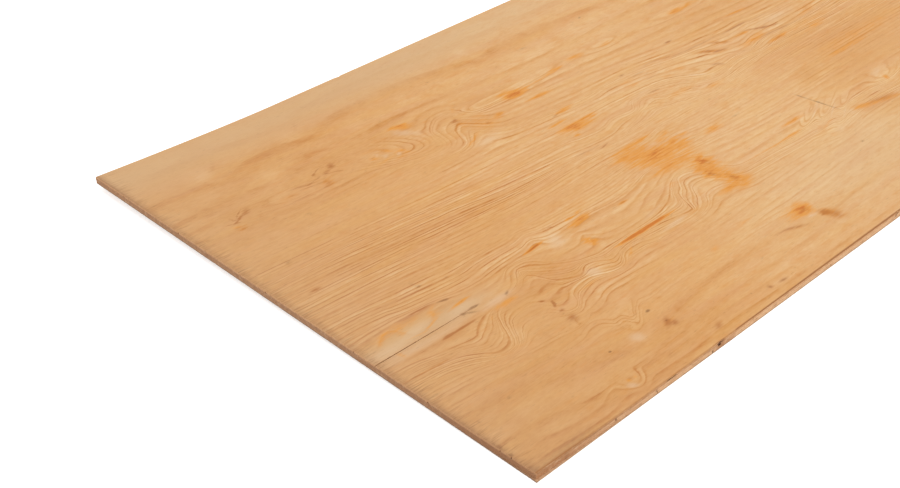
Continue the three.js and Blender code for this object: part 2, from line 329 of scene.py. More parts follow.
# Lines that the growth rings run along. Each has the place across the sheet where it would lie
# on a plain sheet, and the places (along, across) that it really goes through. Between two of
# them, the rings are drawn out evenly. A third entry, True, marks a cusp under an old branch.
RING_LINES = (
    (40, ((0, 56), (70, 51), (130, 40), (190, 36), (250, 52), (275, 32), (290, 26), (305, 33),
          (330, 54), (450, 46), (520, 50), (700, 44), (1000, 46), (2400, 44))),
    (75, ((0, 92), (100, 86), (160, 72), (220, 60), (300, 64), (380, 62), (450, 66), (600, 75),
          (900, 74), (2400, 72))),
    (130, ((0, 182), (120, 179), (150, 172), (187, 152), (240, 132), (292, 125), (354, 106),
          (398, 88, True), (440, 98), (467, 113), (520, 127), (583, 132), (667, 136), (780, 131),
          (822, 127), (900, 106), (950, 84, True), (1000, 98), (1150, 106), (1400, 100),
          (2400, 120))),
    (200, ((0, 205), (100, 200), (200, 190), (300, 180), (360, 194), (380, 186), (410, 160),
          (430, 168), (460, 192), (500, 184), (560, 186), (650, 182), (700, 180), (900, 190),
          (2400, 196))),
    (250, ((0, 248), (60, 244), (120, 238), (180, 224), (240, 222), (300, 215), (345, 205),
          (365, 205), (378, 222), (400, 232), (430, 240), (465, 250), (500, 250), (560, 246),
          (700, 240), (1000, 246), (2400, 250))),
    (282, ((0, 285), (60, 280), (110, 268), (140, 256), (170, 243), (200, 236), (225, 244),
          (245, 268), (262, 290), (290, 300), (330, 290), (350, 262), (370, 250), (400, 276),
          (430, 290), (455, 292), (480, 286), (505, 274), (530, 270), (545, 274), (560, 286),
          (590, 300), (615, 300), (650, 290), (770, 284), (810, 296), (840, 322), (870, 344),
          (900, 340), (930, 312), (960, 292), (1000, 288), (2400, 284))),
    (310, ((0, 306), (60, 302), (110, 293), (140, 280), (165, 262), (190, 250), (215, 256),
          (232, 282), (246, 312), (262, 334), (290, 346), (315, 349), (340, 353), (365, 364),
          (385, 374), (395, 366), (410, 326), (440, 308), (460, 302), (488, 318), (505, 316),
          (520, 306), (538, 293, True), (556, 297), (580, 306), (610, 310), (700, 308), (760, 298),
          (785, 294), (800, 322), (812, 350), (835, 364), (850, 382), (872, 392), (900, 384),
          (930, 360), (955, 330), (990, 312), (1060, 310), (1200, 300), (2400, 310))),
    (345, ((0, 341), (45, 338), (100, 326), (150, 320), (175, 316), (200, 330), (240, 348),
          (290, 354), (320, 360), (345, 368), (370, 386), (388, 402), (405, 400), (430, 384),
          (455, 366), (475, 352), (500, 340), (530, 334), (560, 332), (640, 330), (700, 332),
          (760, 346), (790, 360), (815, 376), (850, 394), (890, 402), (930, 398), (960, 362),
          (985, 338), (1010, 330), (1200, 326), (2400, 345))),
    (362, ((0, 357), (150, 353), (230, 360), (300, 364), (350, 384), (392, 410), (410, 408),
          (440, 384), (470, 362), (500, 354), (546, 353), (556, 378, True), (564, 378), (575, 366),
          (600, 352), (640, 346), (700, 348), (760, 366), (800, 380), (840, 403), (890, 414),
          (930, 411), (970, 376), (1000, 354), (1200, 350), (2400, 362))),
    (385, ((0, 374), (100, 372), (250, 374), (300, 378), (350, 398), (390, 418), (410, 416),
          (440, 400), (480, 378), (520, 374), (546, 382), (557, 392, True), (566, 388), (580, 374),
          (610, 364), (660, 360), (720, 374), (760, 392), (800, 402), (840, 418), (880, 427),
          (930, 425), (970, 402), (1010, 386), (1100, 378), (2400, 385))),
    (402, ((0, 392), (30, 404), (58, 422), (82, 430), (98, 410), (108, 392), (120, 386), (150, 394),
          (176, 412), (200, 420), (250, 408), (300, 398), (350, 408), (390, 421), (440, 412),
          (480, 402), (520, 392), (557, 403), (580, 394), (660, 388), (720, 396), (760, 408),
          (840, 430), (880, 434), (930, 431), (970, 416), (1010, 406), (1100, 397), (2400, 402))),
    (420, ((0, 430), (100, 436), (200, 432), (290, 418), (400, 426), (440, 426), (475, 434),
          (500, 412), (560, 416), (620, 425), (700, 418), (750, 424), (800, 436), (840, 446),
          (900, 442), (960, 432), (1050, 422), (1200, 404), (1500, 410), (2400, 420))),
    (450, ((0, 474), (50, 474), (100, 470), (150, 458), (200, 452), (250, 447), (300, 446),
          (350, 454), (450, 457), (475, 465), (520, 452), (560, 450), (700, 446), (860, 460),
          (960, 458), (1100, 452), (2400, 450))),
    (520, ((0, 532), (200, 524), (400, 508), (700, 506), (860, 512), (950, 520), (1000, 530),
          (1060, 520), (1400, 520), (2400, 520))),
    (590, ((0, 604), (200, 598), (400, 585), (600, 574), (800, 580), (850, 574), (900, 570),
          (1000, 572), (1075, 578), (1110, 580), (1140, 560), (1300, 556), (1500, 566),
          (2400, 585))),
    (640, ((0, 656), (150, 654), (260, 646), (415, 634), (577, 612), (703, 602), (787, 594),
          (853, 586), (960, 600), (1040, 626), (1075, 640), (1110, 620), (1150, 614), (1185, 612),
          (1205, 592), (1225, 584), (1260, 580), (1300, 582), (1480, 592), (1778, 588),
          (2400, 620))),
    (670, ((0, 682), (200, 680), (400, 664), (600, 648), (800, 640), (850, 630), (900, 626),
          (960, 640), (1010, 634), (1050, 660), (1100, 660), (1150, 650), (1190, 638), (1220, 620),
          (1262, 604), (1300, 602), (1400, 611), (1480, 600), (1560, 616), (1700, 612),
          (2400, 650))),
    (700, ((0, 708), (150, 706), (400, 694), (560, 684), (700, 678), (867, 672), (1000, 680),
          (1110, 676), (1200, 664), (1240, 648), (1290, 624), (1330, 617), (1400, 626), (1450, 620),
          (1520, 634), (1600, 634), (2400, 680))),
    (735, ((0, 742), (400, 732), (700, 722), (867, 714), (1000, 712), (1100, 708), (1200, 696),
          (1250, 684), (1300, 668), (1340, 652), (1390, 648), (1420, 636), (1450, 636), (1500, 648),
          (1600, 642), (1778, 652), (2400, 710))),
    (760, ((0, 766), (400, 758), (600, 758), (650, 766), (690, 780), (720, 770), (760, 758),
          (867, 746), (1000, 734), (1050, 740), (1110, 736), (1200, 722), (1320, 705), (1345, 700),
          (1370, 682), (1400, 674), (1440, 668), (1460, 664), (1500, 672), (1550, 676), (1733, 680),
          (2400, 730))),
    (790, ((0, 790), (600, 785), (640, 792), (670, 820), (700, 850, True), (720, 818), (750, 790),
          (790, 774), (900, 764), (1000, 756), (1110, 758), (1200, 752), (1240, 745), (1290, 735),
          (1340, 729), (1400, 728), (1450, 722), (1500, 720), (1540, 724), (1580, 718), (1733, 713),
          (2400, 760))),
    (830, ((0, 826), (560, 826), (600, 834), (630, 868), (660, 898), (700, 910), (730, 895),
          (748, 876), (780, 850), (850, 836), (1000, 826), (1200, 806), (1330, 789), (1400, 784),
          (1500, 780), (1600, 773), (1800, 770), (2400, 800))),
    (888, ((0, 888), (500, 888), (620, 902), (660, 926), (700, 934), (735, 918), (760, 895),
          (800, 886), (1000, 888), (1400, 888), (2400, 876))),
    (975, ((0, 966), (85, 972), (170, 976), (240, 970), (285, 976), (360, 990), (430, 992),
          (500, 987), (590, 991), (780, 981), (978, 964), (1167, 958), (1333, 968), (1600, 966),
          (2400, 970))),
    (1065, ((0, 1048), (110, 1052), (160, 1043), (182, 1033, True), (208, 1037, True), (245, 1060),
          (300, 1075), (350, 1075), (400, 1063), (428, 1057, True), (454, 1060, True), (485, 1082),
          (530, 1097), (650, 1103), (740, 1100), (822, 1089), (900, 1072), (944, 1056, True),
          (978, 1064), (1033, 1076), (1156, 1077), (1244, 1064), (1389, 1047), (1600, 1020),
          (2000, 1010))),
    (1150, ((0, 1140), (70, 1150), (200, 1156), (310, 1146), (430, 1138), (470, 1158), (560, 1172),
          (800, 1166), (1000, 1150), (1200, 1140), (2400, 1150))),
)

# How many growth rings the knife had cut through at each place across the sheet.
RINGS_CUT = (
    (0, 0), (40, 2.0), (75, 3.0), (130, 4), (165, 4.6), (200, 7.5), (250, 10), (282, 15.4),
    (310, 19.4), (345, 26), (362, 27.2), (385, 28), (402, 29), (420, 30), (450, 33), (520, 40),
    (590, 48), (640, 54), (670, 58), (700, 61.5), (735, 64.5), (760, 66.5), (790, 69.5), (830, 73),
    (888, 76), (930, 77.1), (975, 78), (1065, 79), (1150, 80), (1219, 80.7),
)
MOST_RINGS = 81

# Where the knife cut through the swelling round a branch, the rings close into loops. Each is
# (along, across, half length, half width, turn, rings), as marks() takes it.
SWELLINGS = (
    # round the knots right of the split
    (360, 222, 16, 16, 0, -1.4),
    # nested arrowheads and lens loops of the branch row
    (510, 889, 122, 38, -32, 4.7), (262, 890, 60, 16, -3, 1.3), (92, 872, 52, 14, -4, 1.0),
    (812, 888, 66, 13, 0, 1.8), (960, 892, 90, 13, 2, 1.2), (1222, 891, 50, 14, 0, 1.2),
    (1475, 884, 90, 18, 0, 1.4),
    # hooks in the middle
    (1284, 262, 60, 20, 10, 1.5), (1282, 350, 62, 8, 23, 1.6), (1314, 330, 66, 8, 24, 1.7),
    (1346, 306, 60, 8, 27, 1.7), (1556, 322, 46, 30, 24, 2.0),
    # small V figures
    (406, 152, 14, 12, 0, -1.6), (436, 164, 36, 12, 50, 1.7), (287, 44, 22, 14, 0, 1.2),
    (1085, 610, 50, 16, -30, 1.6), (1190, 590, 40, 24, -50, 1.6), (1250, 640, 60, 24, -36, 1.4),
    # loops towards the far end
    (2080, 380, 110, 30, 2, 3.2), (2215, 820, 90, 26, -3, 2.4), (1990, 1010, 80, 22, 0, 1.6),
    (2330, 560, 60, 20, 6, 1.6),
)

# Where the rings show more or less than elsewhere: marks again, as are all the tables below.
RING_STRENGTHS = (
    (400, 632, 260, 46, -8, 0.45), (60, 596, 130, 24, -2, 0.45), (440, 262, 70, 34, -10, 0.26),
    (90, 870, 130, 50, 0, -0.2), (250, 860, 160, 26, 0, -0.14), (150, 1000, 200, 40, 0, -0.14),
    (860, 115, 90, 20, -15, -0.2), (70, 290, 105, 50, -10, 0.3), (120, 462, 260, 26, 0, 0.45),
    (470, 448, 140, 26, 0, 0.3), (150, 520, 200, 40, 0, 0.35), (240, 310, 26, 50, -20, 0.3),
    (370, 380, 36, 34, 40, 0.2), (330, 300, 60, 44, 0, -0.3), (300, 345, 70, 40, 0, -0.18),
    (545, 330, 70, 44, 0, 0.16), (570, 880, 50, 56, -30, 0.02), (390, 905, 60, 56, -30, -0.34),
    (230, 930, 200, 30, 0, -0.16), (950, 800, 150, 46, 0, -0.2), (672, 818, 30, 34, 0, 0.16),
    (820, 380, 60, 40, 30, 0.28), (290, 42, 40, 18, 0, 0.2), (404, 152, 20, 20, 0, 0.04),
    (440, 165, 40, 24, 50, 0.04), (1310, 316, 110, 50, 12, 0.12), (1080, 324, 130, 22, 0, 0.22),
    (1250, 715, 330, 66, -6, 0.14), (1450, 672, 260, 56, -4, 0.22), (1200, 610, 120, 40, -20, 0.14),
    (1000, 740, 300, 30, 0, 0.1), (60, 52, 110, 10, 0, 0.1), (640, 140, 260, 16, 2, 0.05),
    (300, 790, 340, 62, 0, -0.28), (1250, 190, 220, 80, 0, -0.25), (210, 185, 160, 44, 0, -0.3),
    (700, 575, 200, 26, 0, 0.12), (500, 510, 190, 44, 0, -0.22), (680, 190, 170, 64, 0, -0.36),
    (1120, 930, 400, 24, 0, -0.42), (1420, 830, 280, 56, 0, -0.2), (1600, 410, 240, 56, 0, -0.22),
    (1120, 40, 220, 26, 0, -0.15), (170, 585, 160, 22, 0, 0.25), (1620, 600, 260, 50, 0, 0.3),
    (1400, 300, 200, 40, -6, 0.14), (2110, 930, 400, 70, 0, -0.22), (2000, 66, 480, 34, 0, -0.2),
    (2080, 380, 120, 50, 0, 0.15), (780, 855, 80, 24, 0, 0.2), (614, 848, 26, 44, -20, -0.2),
    (1600, 470, 300, 70, 0, -0.08), (400, 500, 60, 36, 0, -0.15), (220, 36, 120, 14, 0, -0.1),
    (510, 955, 60, 18, -32, -0.25), (570, 905, 30, 14, -40, -0.1), (1250, 500, 260, 70, 0, -0.15),
    (685, 780, 60, 26, 0, 0.35), (640, 720, 110, 24, 0, 0.2), (390, 860, 90, 24, 0, 0.18),
    (615, 410, 60, 20, 0, 0.4), (720, 310, 130, 20, 0, 0.32), (545, 262, 50, 26, 0, 0.3),
    (335, 312, 60, 20, 0, 0.2), (475, 312, 50, 20, 0, 0.25), (700, 610, 60, 20, 0, 0.25),
    (700, 156, 150, 12, 0, 0.14), (255, 60, 60, 20, 0, 0.15), (255, 212, 60, 18, 0, 0.1),
    (755, 900, 50, 20, 0, 0.18), (1050, 964, 70, 14, 0, 0.2), (1450, 436, 80, 32, 0, 0.24),
    (1580, 310, 120, 60, 0, 0.25), (1650, 480, 80, 36, 0, 0.25), (1760, 640, 90, 50, 0, 0.45),
    (600, 1080, 800, 50, 0, -0.18), (900, 66, 600, 40, 0, -0.2), (600, 970, 700, 20, 0, -0.16),
    (160, 90, 150, 30, 0, -0.08), (420, 60, 120, 16, 0, -0.16), (300, 120, 130, 24, -10, -0.2),
)

# Broad darker (above 0) and paler (below 0) parts of the face.
SHADES = (
    (0, 40, 300, 120, 0, 0.08), (0, 600, 170, 500, 0, 0.06), (330, 40, 260, 70, 0, 0.05),
    (300, 135, 200, 28, -12, 0.08), (330, 610, 200, 40, -8, 0.12), (580, 588, 130, 24, -6, 0.08),
    (340, 1030, 120, 40, 0, 0.1), (560, 1072, 190, 26, 0, 0.05), (640, 940, 220, 34, 0, 0.08),
    (330, 970, 90, 20, 15, 0.08), (110, 955, 70, 26, 0, 0.07), (1000, 1040, 240, 40, 0, 0.08),
    (340, 840, 160, 40, 0, 0.05), (900, 1000, 260, 24, 0, 0.03), (400, 330, 60, 60, 0, 0.1),
    (1430, 455, 34, 22, 20, 0.16), (1600, 440, 160, 60, 20, 0.1), (1550, 560, 200, 40, 0, 0.06),
    (1400, 268, 46, 26, -14, 0.1), (1470, 256, 60, 30, -20, 0.12), (1520, 800, 260, 60, 0, 0.06),
    (450, 350, 50, 30, -20, 0.06), (300, 200, 80, 30, 0, 0.03), (600, 60, 260, 40, 0, 0.04),
    (800, 4, 420, 16, 0, 0.12), (890, 290, 160, 30, 0, 0.02), (110, 398, 80, 12, 0, -0.18),
    (250, 384, 80, 16, 0, -0.2), (50, 390, 60, 14, 0, -0.16), (500, 422, 34, 22, -30, -0.16),
    (492, 302, 22, 18, 40, -0.14), (390, 104, 20, 20, 0, -0.12), (160, 1078, 26, 28, 20, -0.16),
    (398, 1084, 26, 20, 0, -0.14), (944, 1110, 14, 26, 0, -0.1), (270, 975, 26, 24, 0, -0.16),
    (235, 262, 30, 30, 0, -0.14), (708, 778, 42, 20, 0, -0.1), (470, 900, 18, 14, 0, -0.12),
    (230, 790, 260, 34, 0, -0.06), (700, 715, 260, 30, 0, -0.05), (1560, 706, 120, 26, -4, -0.1),
    (1250, 170, 320, 110, 0, -0.12), (1000, 170, 200, 40, 0, -0.06), (1140, 400, 220, 60, 0, -0.1),
    (1250, 560, 160, 60, 0, -0.04), (1290, 280, 90, 24, 10, -0.1), (1560, 332, 44, 22, 30, -0.2),
    (860, 320, 40, 22, 0, -0.14), (980, 905, 60, 8, 0, -0.04), (600, 690, 60, 14, 0, -0.06),
    (640, 470, 160, 30, 0, -0.05), (1350, 225, 60, 20, 0, -0.08), (600, 392, 260, 40, 0, -0.08),
    (925, 120, 80, 50, 0, 0.07), (600, 1000, 120, 36, 0, 0.07), (1100, 1000, 140, 36, 0, 0.07),
    (280, 110, 120, 50, 0, -0.06), (780, 60, 120, 36, 0, -0.07), (1000, 1150, 300, 40, 0, -0.07),
    (738, 838, 50, 34, -30, 0.1), (150, 905, 44, 24, 0, 0.07), (365, 925, 50, 22, 20, 0.06),
    (1700, 520, 260, 40, 0, 0.05), (2100, 300, 220, 60, 0, 0.07), (2250, 900, 180, 80, 0, -0.08),
    (1990, 720, 170, 50, 0, -0.06), (2380, 500, 120, 300, 0, 0.05),
)

# Pitch: resin that has soaked the wood orange. Broad feathered patches, then narrow streaks.
PITCH_PATCHES = (
    # the great patch, and the knot stain below it
    (862, 522, 52, 18, 3, 0.55), (900, 541, 44, 8, 3, 0.4), (968, 519, 30, 9, 20, 0.45),
    (880, 482, 50, 24, 0, 0.62), (935, 474, 60, 26, 6, 0.5), (985, 464, 26, 14, 0, 0.34),
    (880, 432, 60, 16, 4, 0.42), (960, 430, 44, 14, 0, 0.24), (925, 410, 50, 16, 0, 0.25),
    (950, 392, 26, 20, 0, 0.42), (922, 356, 20, 28, 0, 0.42), (945, 330, 28, 44, 0, 0.48),
    (935, 372, 26, 16, 0, 0.22), (936, 288, 36, 16, 0, 0.52), (888, 292, 22, 8, 0, 0.24),
    (830, 385, 14, 8, 40, 0.3),
    # softer ones elsewhere
    (868, 682, 42, 16, 0, 0.62), (905, 668, 44, 12, 0, 0.25), (915, 142, 36, 18, 6, 0.48),
    (890, 236, 44, 40, 0, 0.1), (968, 228, 14, 6, 0, 0.15), (930, 162, 40, 8, 10, 0.15),
    (880, 880, 32, 18, -10, 0.75), (1610, 470, 60, 6, 0, 0.4), (740, 835, 44, 34, -30, 0.3),
    (600, 945, 22, 14, -10, 0.42), (578, 430, 40, 6, 6, 0.15), (72, 425, 34, 10, 12, 0.28),
    (96, 412, 10, 16, -30, 0.28), (176, 414, 24, 10, 44, 0.32), (130, 424, 20, 10, 0, 0.24),
    (300, 343, 26, 8, 4, 0.32), (556, 366, 12, 18, 0, 0.4), (1228, 358, 44, 8, 0, 0.28),
    (1700, 494, 180, 24, 0, 0.34), (1440, 275, 64, 9, -13, 0.48), (1486, 884, 60, 12, 0, 0.24),
    (1160, 614, 50, 10, 0, 0.24), (1240, 580, 40, 7, 0, 0.2), (1500, 655, 56, 12, 6, 0.36),
    (1110, 720, 40, 14, 0, 0.2), (1388, 286, 16, 20, 0, 0.24), (1242, 262, 14, 10, 0, 0.22),
)
PITCH_STREAKS = (
    (892, 541, 44, 5, 3, 0.15), (840, 517, 22, 4, 0, 0.2), (930, 540, 16, 4, 8, 0.25),
    (975, 492, 12, 6, 20, 0.45), (1010, 494, 16, 3, -5, 0.6), (890, 433, 44, 4, 3, 0.25),
    (950, 398, 12, 8, 40, 0.55), (948, 312, 7, 14, 0, 0.25), (880, 289, 20, 4, 0, 0.25),
    (860, 684, 34, 6, 2, 0.35), (930, 688, 18, 5, 0, 0.8), (868, 668, 10, 10, -20, 0.25),
    (848, 651, 8, 4, 0, 0.7), (850, 714, 22, 3, 2, 1.1), (912, 746, 20, 5, 3, 0.95),
    (594, 950, 14, 7, -10, 0.9), (612, 936, 12, 6, -20, 0.15), (878, 870, 26, 8, -6, 0.45),
    (898, 872, 16, 7, 0, 0.25), (922, 828, 26, 5, 0, 0.75), (900, 832, 20, 4, 0, 0.3),
    (794, 832, 14, 7, 8, 0.6), (748, 824, 8, 6, 0, 0.15), (1022, 890, 28, 4, 14, 0.4),
    (1040, 886, 20, 4, 8, 0.8), (950, 878, 50, 2, 2, 0.5), (1118, 897, 22, 7, 0, 0.8),
    (1222, 891, 17, 6, 2, 0.6), (1486, 884, 16, 7, 0, 0.7), (1532, 884, 26, 8, 0, 0.35),
    (700, 872, 12, 16, 0, 0.25), (735, 922, 14, 4, 50, 0.3), (676, 797, 26, 4, 30, 0.4),
    (655, 790, 14, 4, 20, 0.35), (512, 888, 18, 5, -52, 0.5), (484, 866, 30, 4, 6, 0.35),
    (534, 873, 15, 5, -62, 0.5), (518, 855, 22, 4, 12, 0.4), (467, 888, 9, 6, -10, 0.6),
    (104, 866, 13, 7, -30, 0.4), (92, 880, 14, 4, -30, 0.25), (336, 885, 12, 10, 40, 0.5),
    (290, 873, 44, 2, 0, 0.25), (246, 894, 20, 6, 2, 0.3), (1080, 461, 24, 8, 0, 0.75),
    (598, 429, 24, 6, 8, 1.1), (586, 447, 9, 3, 0, 1.0), (612, 450, 10, 3, 12, 0.7),
    (462, 429, 20, 3, 6, 1.5), (234, 403, 24, 3, 6, 0.9), (650, 318, 50, 4, 0, 1.1),
    (672, 319, 56, 3, 0, 1.9), (557, 366, 7, 13, 0, 0.42), (574, 356, 14, 4, -30, 0.25),
    (390, 374, 8, 5, 40, 0.2), (272, 345, 14, 3, 40, 0.25), (296, 345, 14, 4, 5, 0.3),
    (244, 332, 4, 10, -20, 0.25), (1228, 358, 26, 4, 0, 0.65), (1110, 324, 80, 3, -3, 0.5),
    (1262, 294, 44, 3, 14, 0.35), (1180, 326, 26, 3, 0, 0.7), (708, 410, 12, 3, 0, 0.8),
    (54, 364, 5, 10, 0, 0.35), (50, 414, 20, 4, 40, 0.2), (76, 430, 16, 4, 10, 0.1),
    (178, 418, 14, 4, 50, 0.2), (112, 386, 18, 2, -6, 0.35), (148, 391, 20, 2, 18, 0.35),
    (60, 337, 24, 2, -8, 0.25), (60, 304, 50, 2, -4, 0.3), (283, 47, 5, 4, -40, 0.4),
    (300, 46, 7, 4, 40, 0.35), (404, 158, 6, 5, 0, 0.3), (428, 172, 10, 3, 50, 0.2),
    (706, 180, 12, 6, 10, 0.42), (820, 196, 20, 5, 5, 0.42), (450, 275, 30, 3, 4, 0.35),
    (590, 292, 24, 3, 40, 0.35), (560, 276, 24, 3, 30, 0.22), (535, 292, 4, 10, 20, 0.3),
    (505, 318, 14, 3, -40, 0.2), (700, 277, 20, 3, 0, 0.3), (1110, 732, 30, 4, -3, 0.25),
    (1366, 690, 34, 9, -33, 0.5), (1420, 702, 24, 9, -34, 0.45), (1485, 690, 44, 6, 0, 0.45),
    (1660, 616, 110, 8, 0, 0.35), (1668, 593, 36, 9, 4, 0.5), (1262, 743, 34, 5, -14, 0.3),
    (1480, 722, 110, 4, -2, 0.2), (1080, 618, 24, 3, -36, 0.3), (1550, 777, 60, 3, -6, 0.35),
    (1742, 662, 50, 10, 14, 0.5), (1110, 708, 22, 4, 0, 0.25), (1160, 614, 26, 5, 0, 0.12),
    (1240, 577, 30, 10, 5, 0.2), (1370, 625, 24, 6, -10, 0.25), (1490, 592, 26, 6, -12, 0.25),
    (1590, 773, 26, 6, -4, 0.3), (1200, 680, 14, 4, -40, 0.3), (1250, 686, 22, 8, -40, 0.35),
    (1500, 652, 36, 7, 6, 0.35), (1510, 690, 18, 4, 0, 0.5), (1548, 616, 28, 5, 3, 0.6),
    (1480, 260, 60, 7, -16, 0.2), (1553, 324, 6, 10, -30, 0.7), (900, 37, 16, 4, 0, 0.2),
    (2088, 380, 16, 8, 0, 0.6), (2140, 372, 40, 4, 0, 0.35), (2212, 822, 12, 7, 0, 0.6),
    (1960, 560, 44, 4, 0, 0.4), (2300, 610, 50, 4, 2, 0.35), (1900, 930, 30, 5, 0, 0.3),
    (946, 141, 17, 14, 25, 1.0), (962, 106, 13, 11, -20, 0.6), (976, 86, 16, 18, 20, 0.45),
    (880, 108, 40, 4, -18, 0.2), (916, 132, 14, 4, 0, 0.25),
)

# Brown marks: dense latewood, knot traces and stains.
BROWN_MARKS = (
    (180, 347, 32, 2.6, 1, 1.0), (150, 348, 9, 3.4, 0, 0.7), (146, 910, 8, 6, 40, 0.65),
    (104, 902, 3, 12, 0, 0.45), (126, 903, 12, 4, 20, 0.45), (384, 930, 9, 6, 60, 0.7),
    (362, 918, 14, 4, 24, 0.5), (335, 921, 4, 10, 0, 0.4), (286, 908, 22, 3, -10, 0.6),
    (270, 873, 50, 2, 0, 0.5), (92, 952, 12, 8, 50, 0.3), (250, 894, 10, 5, 0, 0.3),
    (348, 230, 10, 9, 0, 0.7), (352, 258, 5, 4, 0, 0.7), (354, 281, 3, 8, -30, 1.2),
    (345, 302, 5, 2, -36, 0.9), (112, 896, 16, 1.6, 24, 0.6), (96, 890, 18, 1.6, -18, 0.5),
    (128, 914, 14, 1.6, 38, 0.6), (346, 934, 16, 1.8, 30, 0.6), (372, 906, 18, 1.8, -24, 0.6),
    (322, 908, 16, 1.8, 14, 0.5), (300, 896, 24, 1.8, -6, 0.5), (216, 336, 5, 12, 10, 0.2),
    (456, 102, 14, 5, 40, 0.7), (466, 92, 8, 8, 0, 0.7), (300, 103, 36, 8, -4, 0.4),
    (392, 42, 14, 8, 0, 0.35), (515, 30, 12, 5, 20, 0.6), (697, 880, 6, 4, 0, 0.4),
    (700, 870, 14, 15, 0, 0.4), (794, 832, 13, 6, 8, 0.3), (104, 866, 14, 7, -30, 0.45),
    (334, 884, 13, 9, 40, 0.45), (465, 890, 6, 8, 0, 0.25), (530, 862, 10, 5, 30, 0.25),
    (1006, 468, 8, 2, -10, 0.5), (706, 884, 5, 3, 20, 0.5), (746, 824, 5, 4, 0, 0.6),
    (1436, 452, 16, 12, 30, 0.15), (1440, 277, 46, 5, -13, 0.3), (1475, 264, 40, 16, -24, 0.3),
    (1520, 300, 30, 8, -20, 0.2), (677, 34, 6, 5, 0, 0.6), (714, 29, 12, 4, -4, 0.6),
    (962, 105, 10, 9, -20, 0.7), (976, 86, 14, 16, 20, 0.6), (1040, 120, 40, 5, -6, 0.25),
    (944, 138, 12, 10, 25, 0.4), (924, 348, 6, 12, 20, 0.5), (952, 388, 8, 14, 30, 0.35),
    (944, 312, 7, 16, 0, 0.45), (848, 122, 18, 3, -8, 0.5), (882, 111, 20, 4, -20, 0.6),
    (1262, 743, 34, 4, -14, 0.4), (1212, 751, 24, 3, -4, 0.3), (1340, 729, 44, 3, -3, 0.4),
    (1440, 725, 60, 3, -2, 0.45), (1532, 724, 38, 3, 2, 0.5), (1610, 717, 70, 3, -3, 0.35),
    (1366, 690, 30, 6, -33, 0.6), (1420, 702, 20, 6, -34, 0.55), (1480, 690, 44, 4, 0, 0.35),
    (1572, 672, 36, 4, -20, 0.45), (1548, 616, 24, 4, 3, 0.4), (1400, 672, 20, 3, -10, 0.35),
    (1556, 680, 40, 3, -22, 0.35), (1415, 640, 30, 3, -28, 0.3), (1330, 636, 20, 5, -40, 0.5),
    (1340, 789, 11, 3, 0, 1.0), (1550, 777, 60, 3, -6, 0.3), (1740, 664, 44, 8, 14, 0.35),
    (1580, 642, 60, 3, -4, 0.5), (1080, 618, 22, 3, -36, 0.35), (1190, 604, 10, 4, -60, 0.2),
    (1060, 735, 24, 3, -4, 0.3), (1160, 737, 20, 3, 0, 0.5), (1170, 704, 24, 3, -4, 0.3),
    (1120, 658, 16, 3, -6, 0.5), (1125, 759, 8, 3, 0, 0.7), (75, 614, 12, 3, -3, 0.8),
    (330, 966, 60, 10, 16, 0.15), (200, 1090, 18, 6, 50, 0.3), (436, 1112, 22, 6, 50, 0.28),
    (1000, 1056, 22, 8, 0, 0.2), (1480, 945, 18, 6, 0, 0.2), (540, 452, 5, 3, -20, 0.6),
    (170, 438, 24, 2, -4, 0.9), (885, 742, 14, 2, 10, 0.6), (60, 304, 56, 2, -4, 0.4),
    (462, 429, 16, 2, 6, 0.6), (708, 410, 10, 2, 0, 0.5), (850, 580, 12, 2, 12, 0.7),
    (2074, 381, 9, 8, 0, 0.7), (2206, 821, 8, 7, 0, 0.6), (2350, 300, 30, 4, 0, 0.3),
    (800, 592, 40, 2, -3, 0.4), (840, 590, 30, 2, 3, 0.15), (280, 232, 18, 8, 10, 0.3),
)

# Grey marks: pencil, dirt and bruises.
GREY_MARKS = (
    (3, 61, 5, 4, 0, 1.0), (5, 85, 6, 9, 0, 0.6), (2, 110, 4, 24, 0, 0.3),
    (75, 986, 10, 9, 30, 0.25), (312, 1006, 20, 8, 30, 0.25), (228, 368, 14, 3, -26, 0.7),
    (212, 372, 4, 4, 0, 0.5), (318, 364, 8, 3, 26, 0.8), (92, 717, 12, 9, 0, 0.45),
    (24, 375, 22, 3, 0, 0.3), (70, 375, 14, 3, 0, 0.35), (168, 375, 20, 3, 0, 0.35),
    (228, 377, 14, 3, 0, 0.5), (247, 376, 10, 3, 0, 0.8), (1158, 461, 14, 3, -3, 0.55),
    (1062, 1013, 20, 5, -6, 0.45), (950, 991, 9, 4, 30, 0.4), (783, 1052, 5, 4, 0, 0.5),
    (1288, 1028, 7, 4, 30, 0.6), (217, 491, 6, 4, 0, 0.5), (212, 505, 8, 10, 0, 0.4),
    (221, 428, 7, 3, -10, 0.9), (208, 431, 6, 2, -10, 0.5), (273, 476, 5, 4, 0, 0.5),
    (459, 147, 5, 3, 0, 1.1), (461, 106, 3, 2, 0, 0.7), (106, 158, 7, 4, 10, 0.5),
    (25, 152, 4, 3, 20, 0.5), (320, 119, 3, 2, 0, 1.1), (635, 46, 3, 2, 0, 0.6),
    (677, 34, 5, 4, 0, 0.5), (714, 29, 12, 3, -4, 0.5), (231, 819, 9, 6, -30, 0.45),
    (1261, 202, 6, 5, 0, 0.55), (1340, 358, 2.5, 46, 7, 0.72), (1333, 412, 4, 12, 7, 0.3),
    (1342, 366, 5, 3, 0, 0.3), (330, 24, 4, 3, 0, 0.4), (992, 109, 10, 4, 0, 0.25),
    (930, 1186, 6, 3, 0, 0.2), (740, 312, 8, 3, 20, 0.5), (744, 98, 8, 3, 0, 0.45),
    (640, 158, 4, 2, 0, 0.3), (880, 604, 5, 3, 0, 0.3),
)

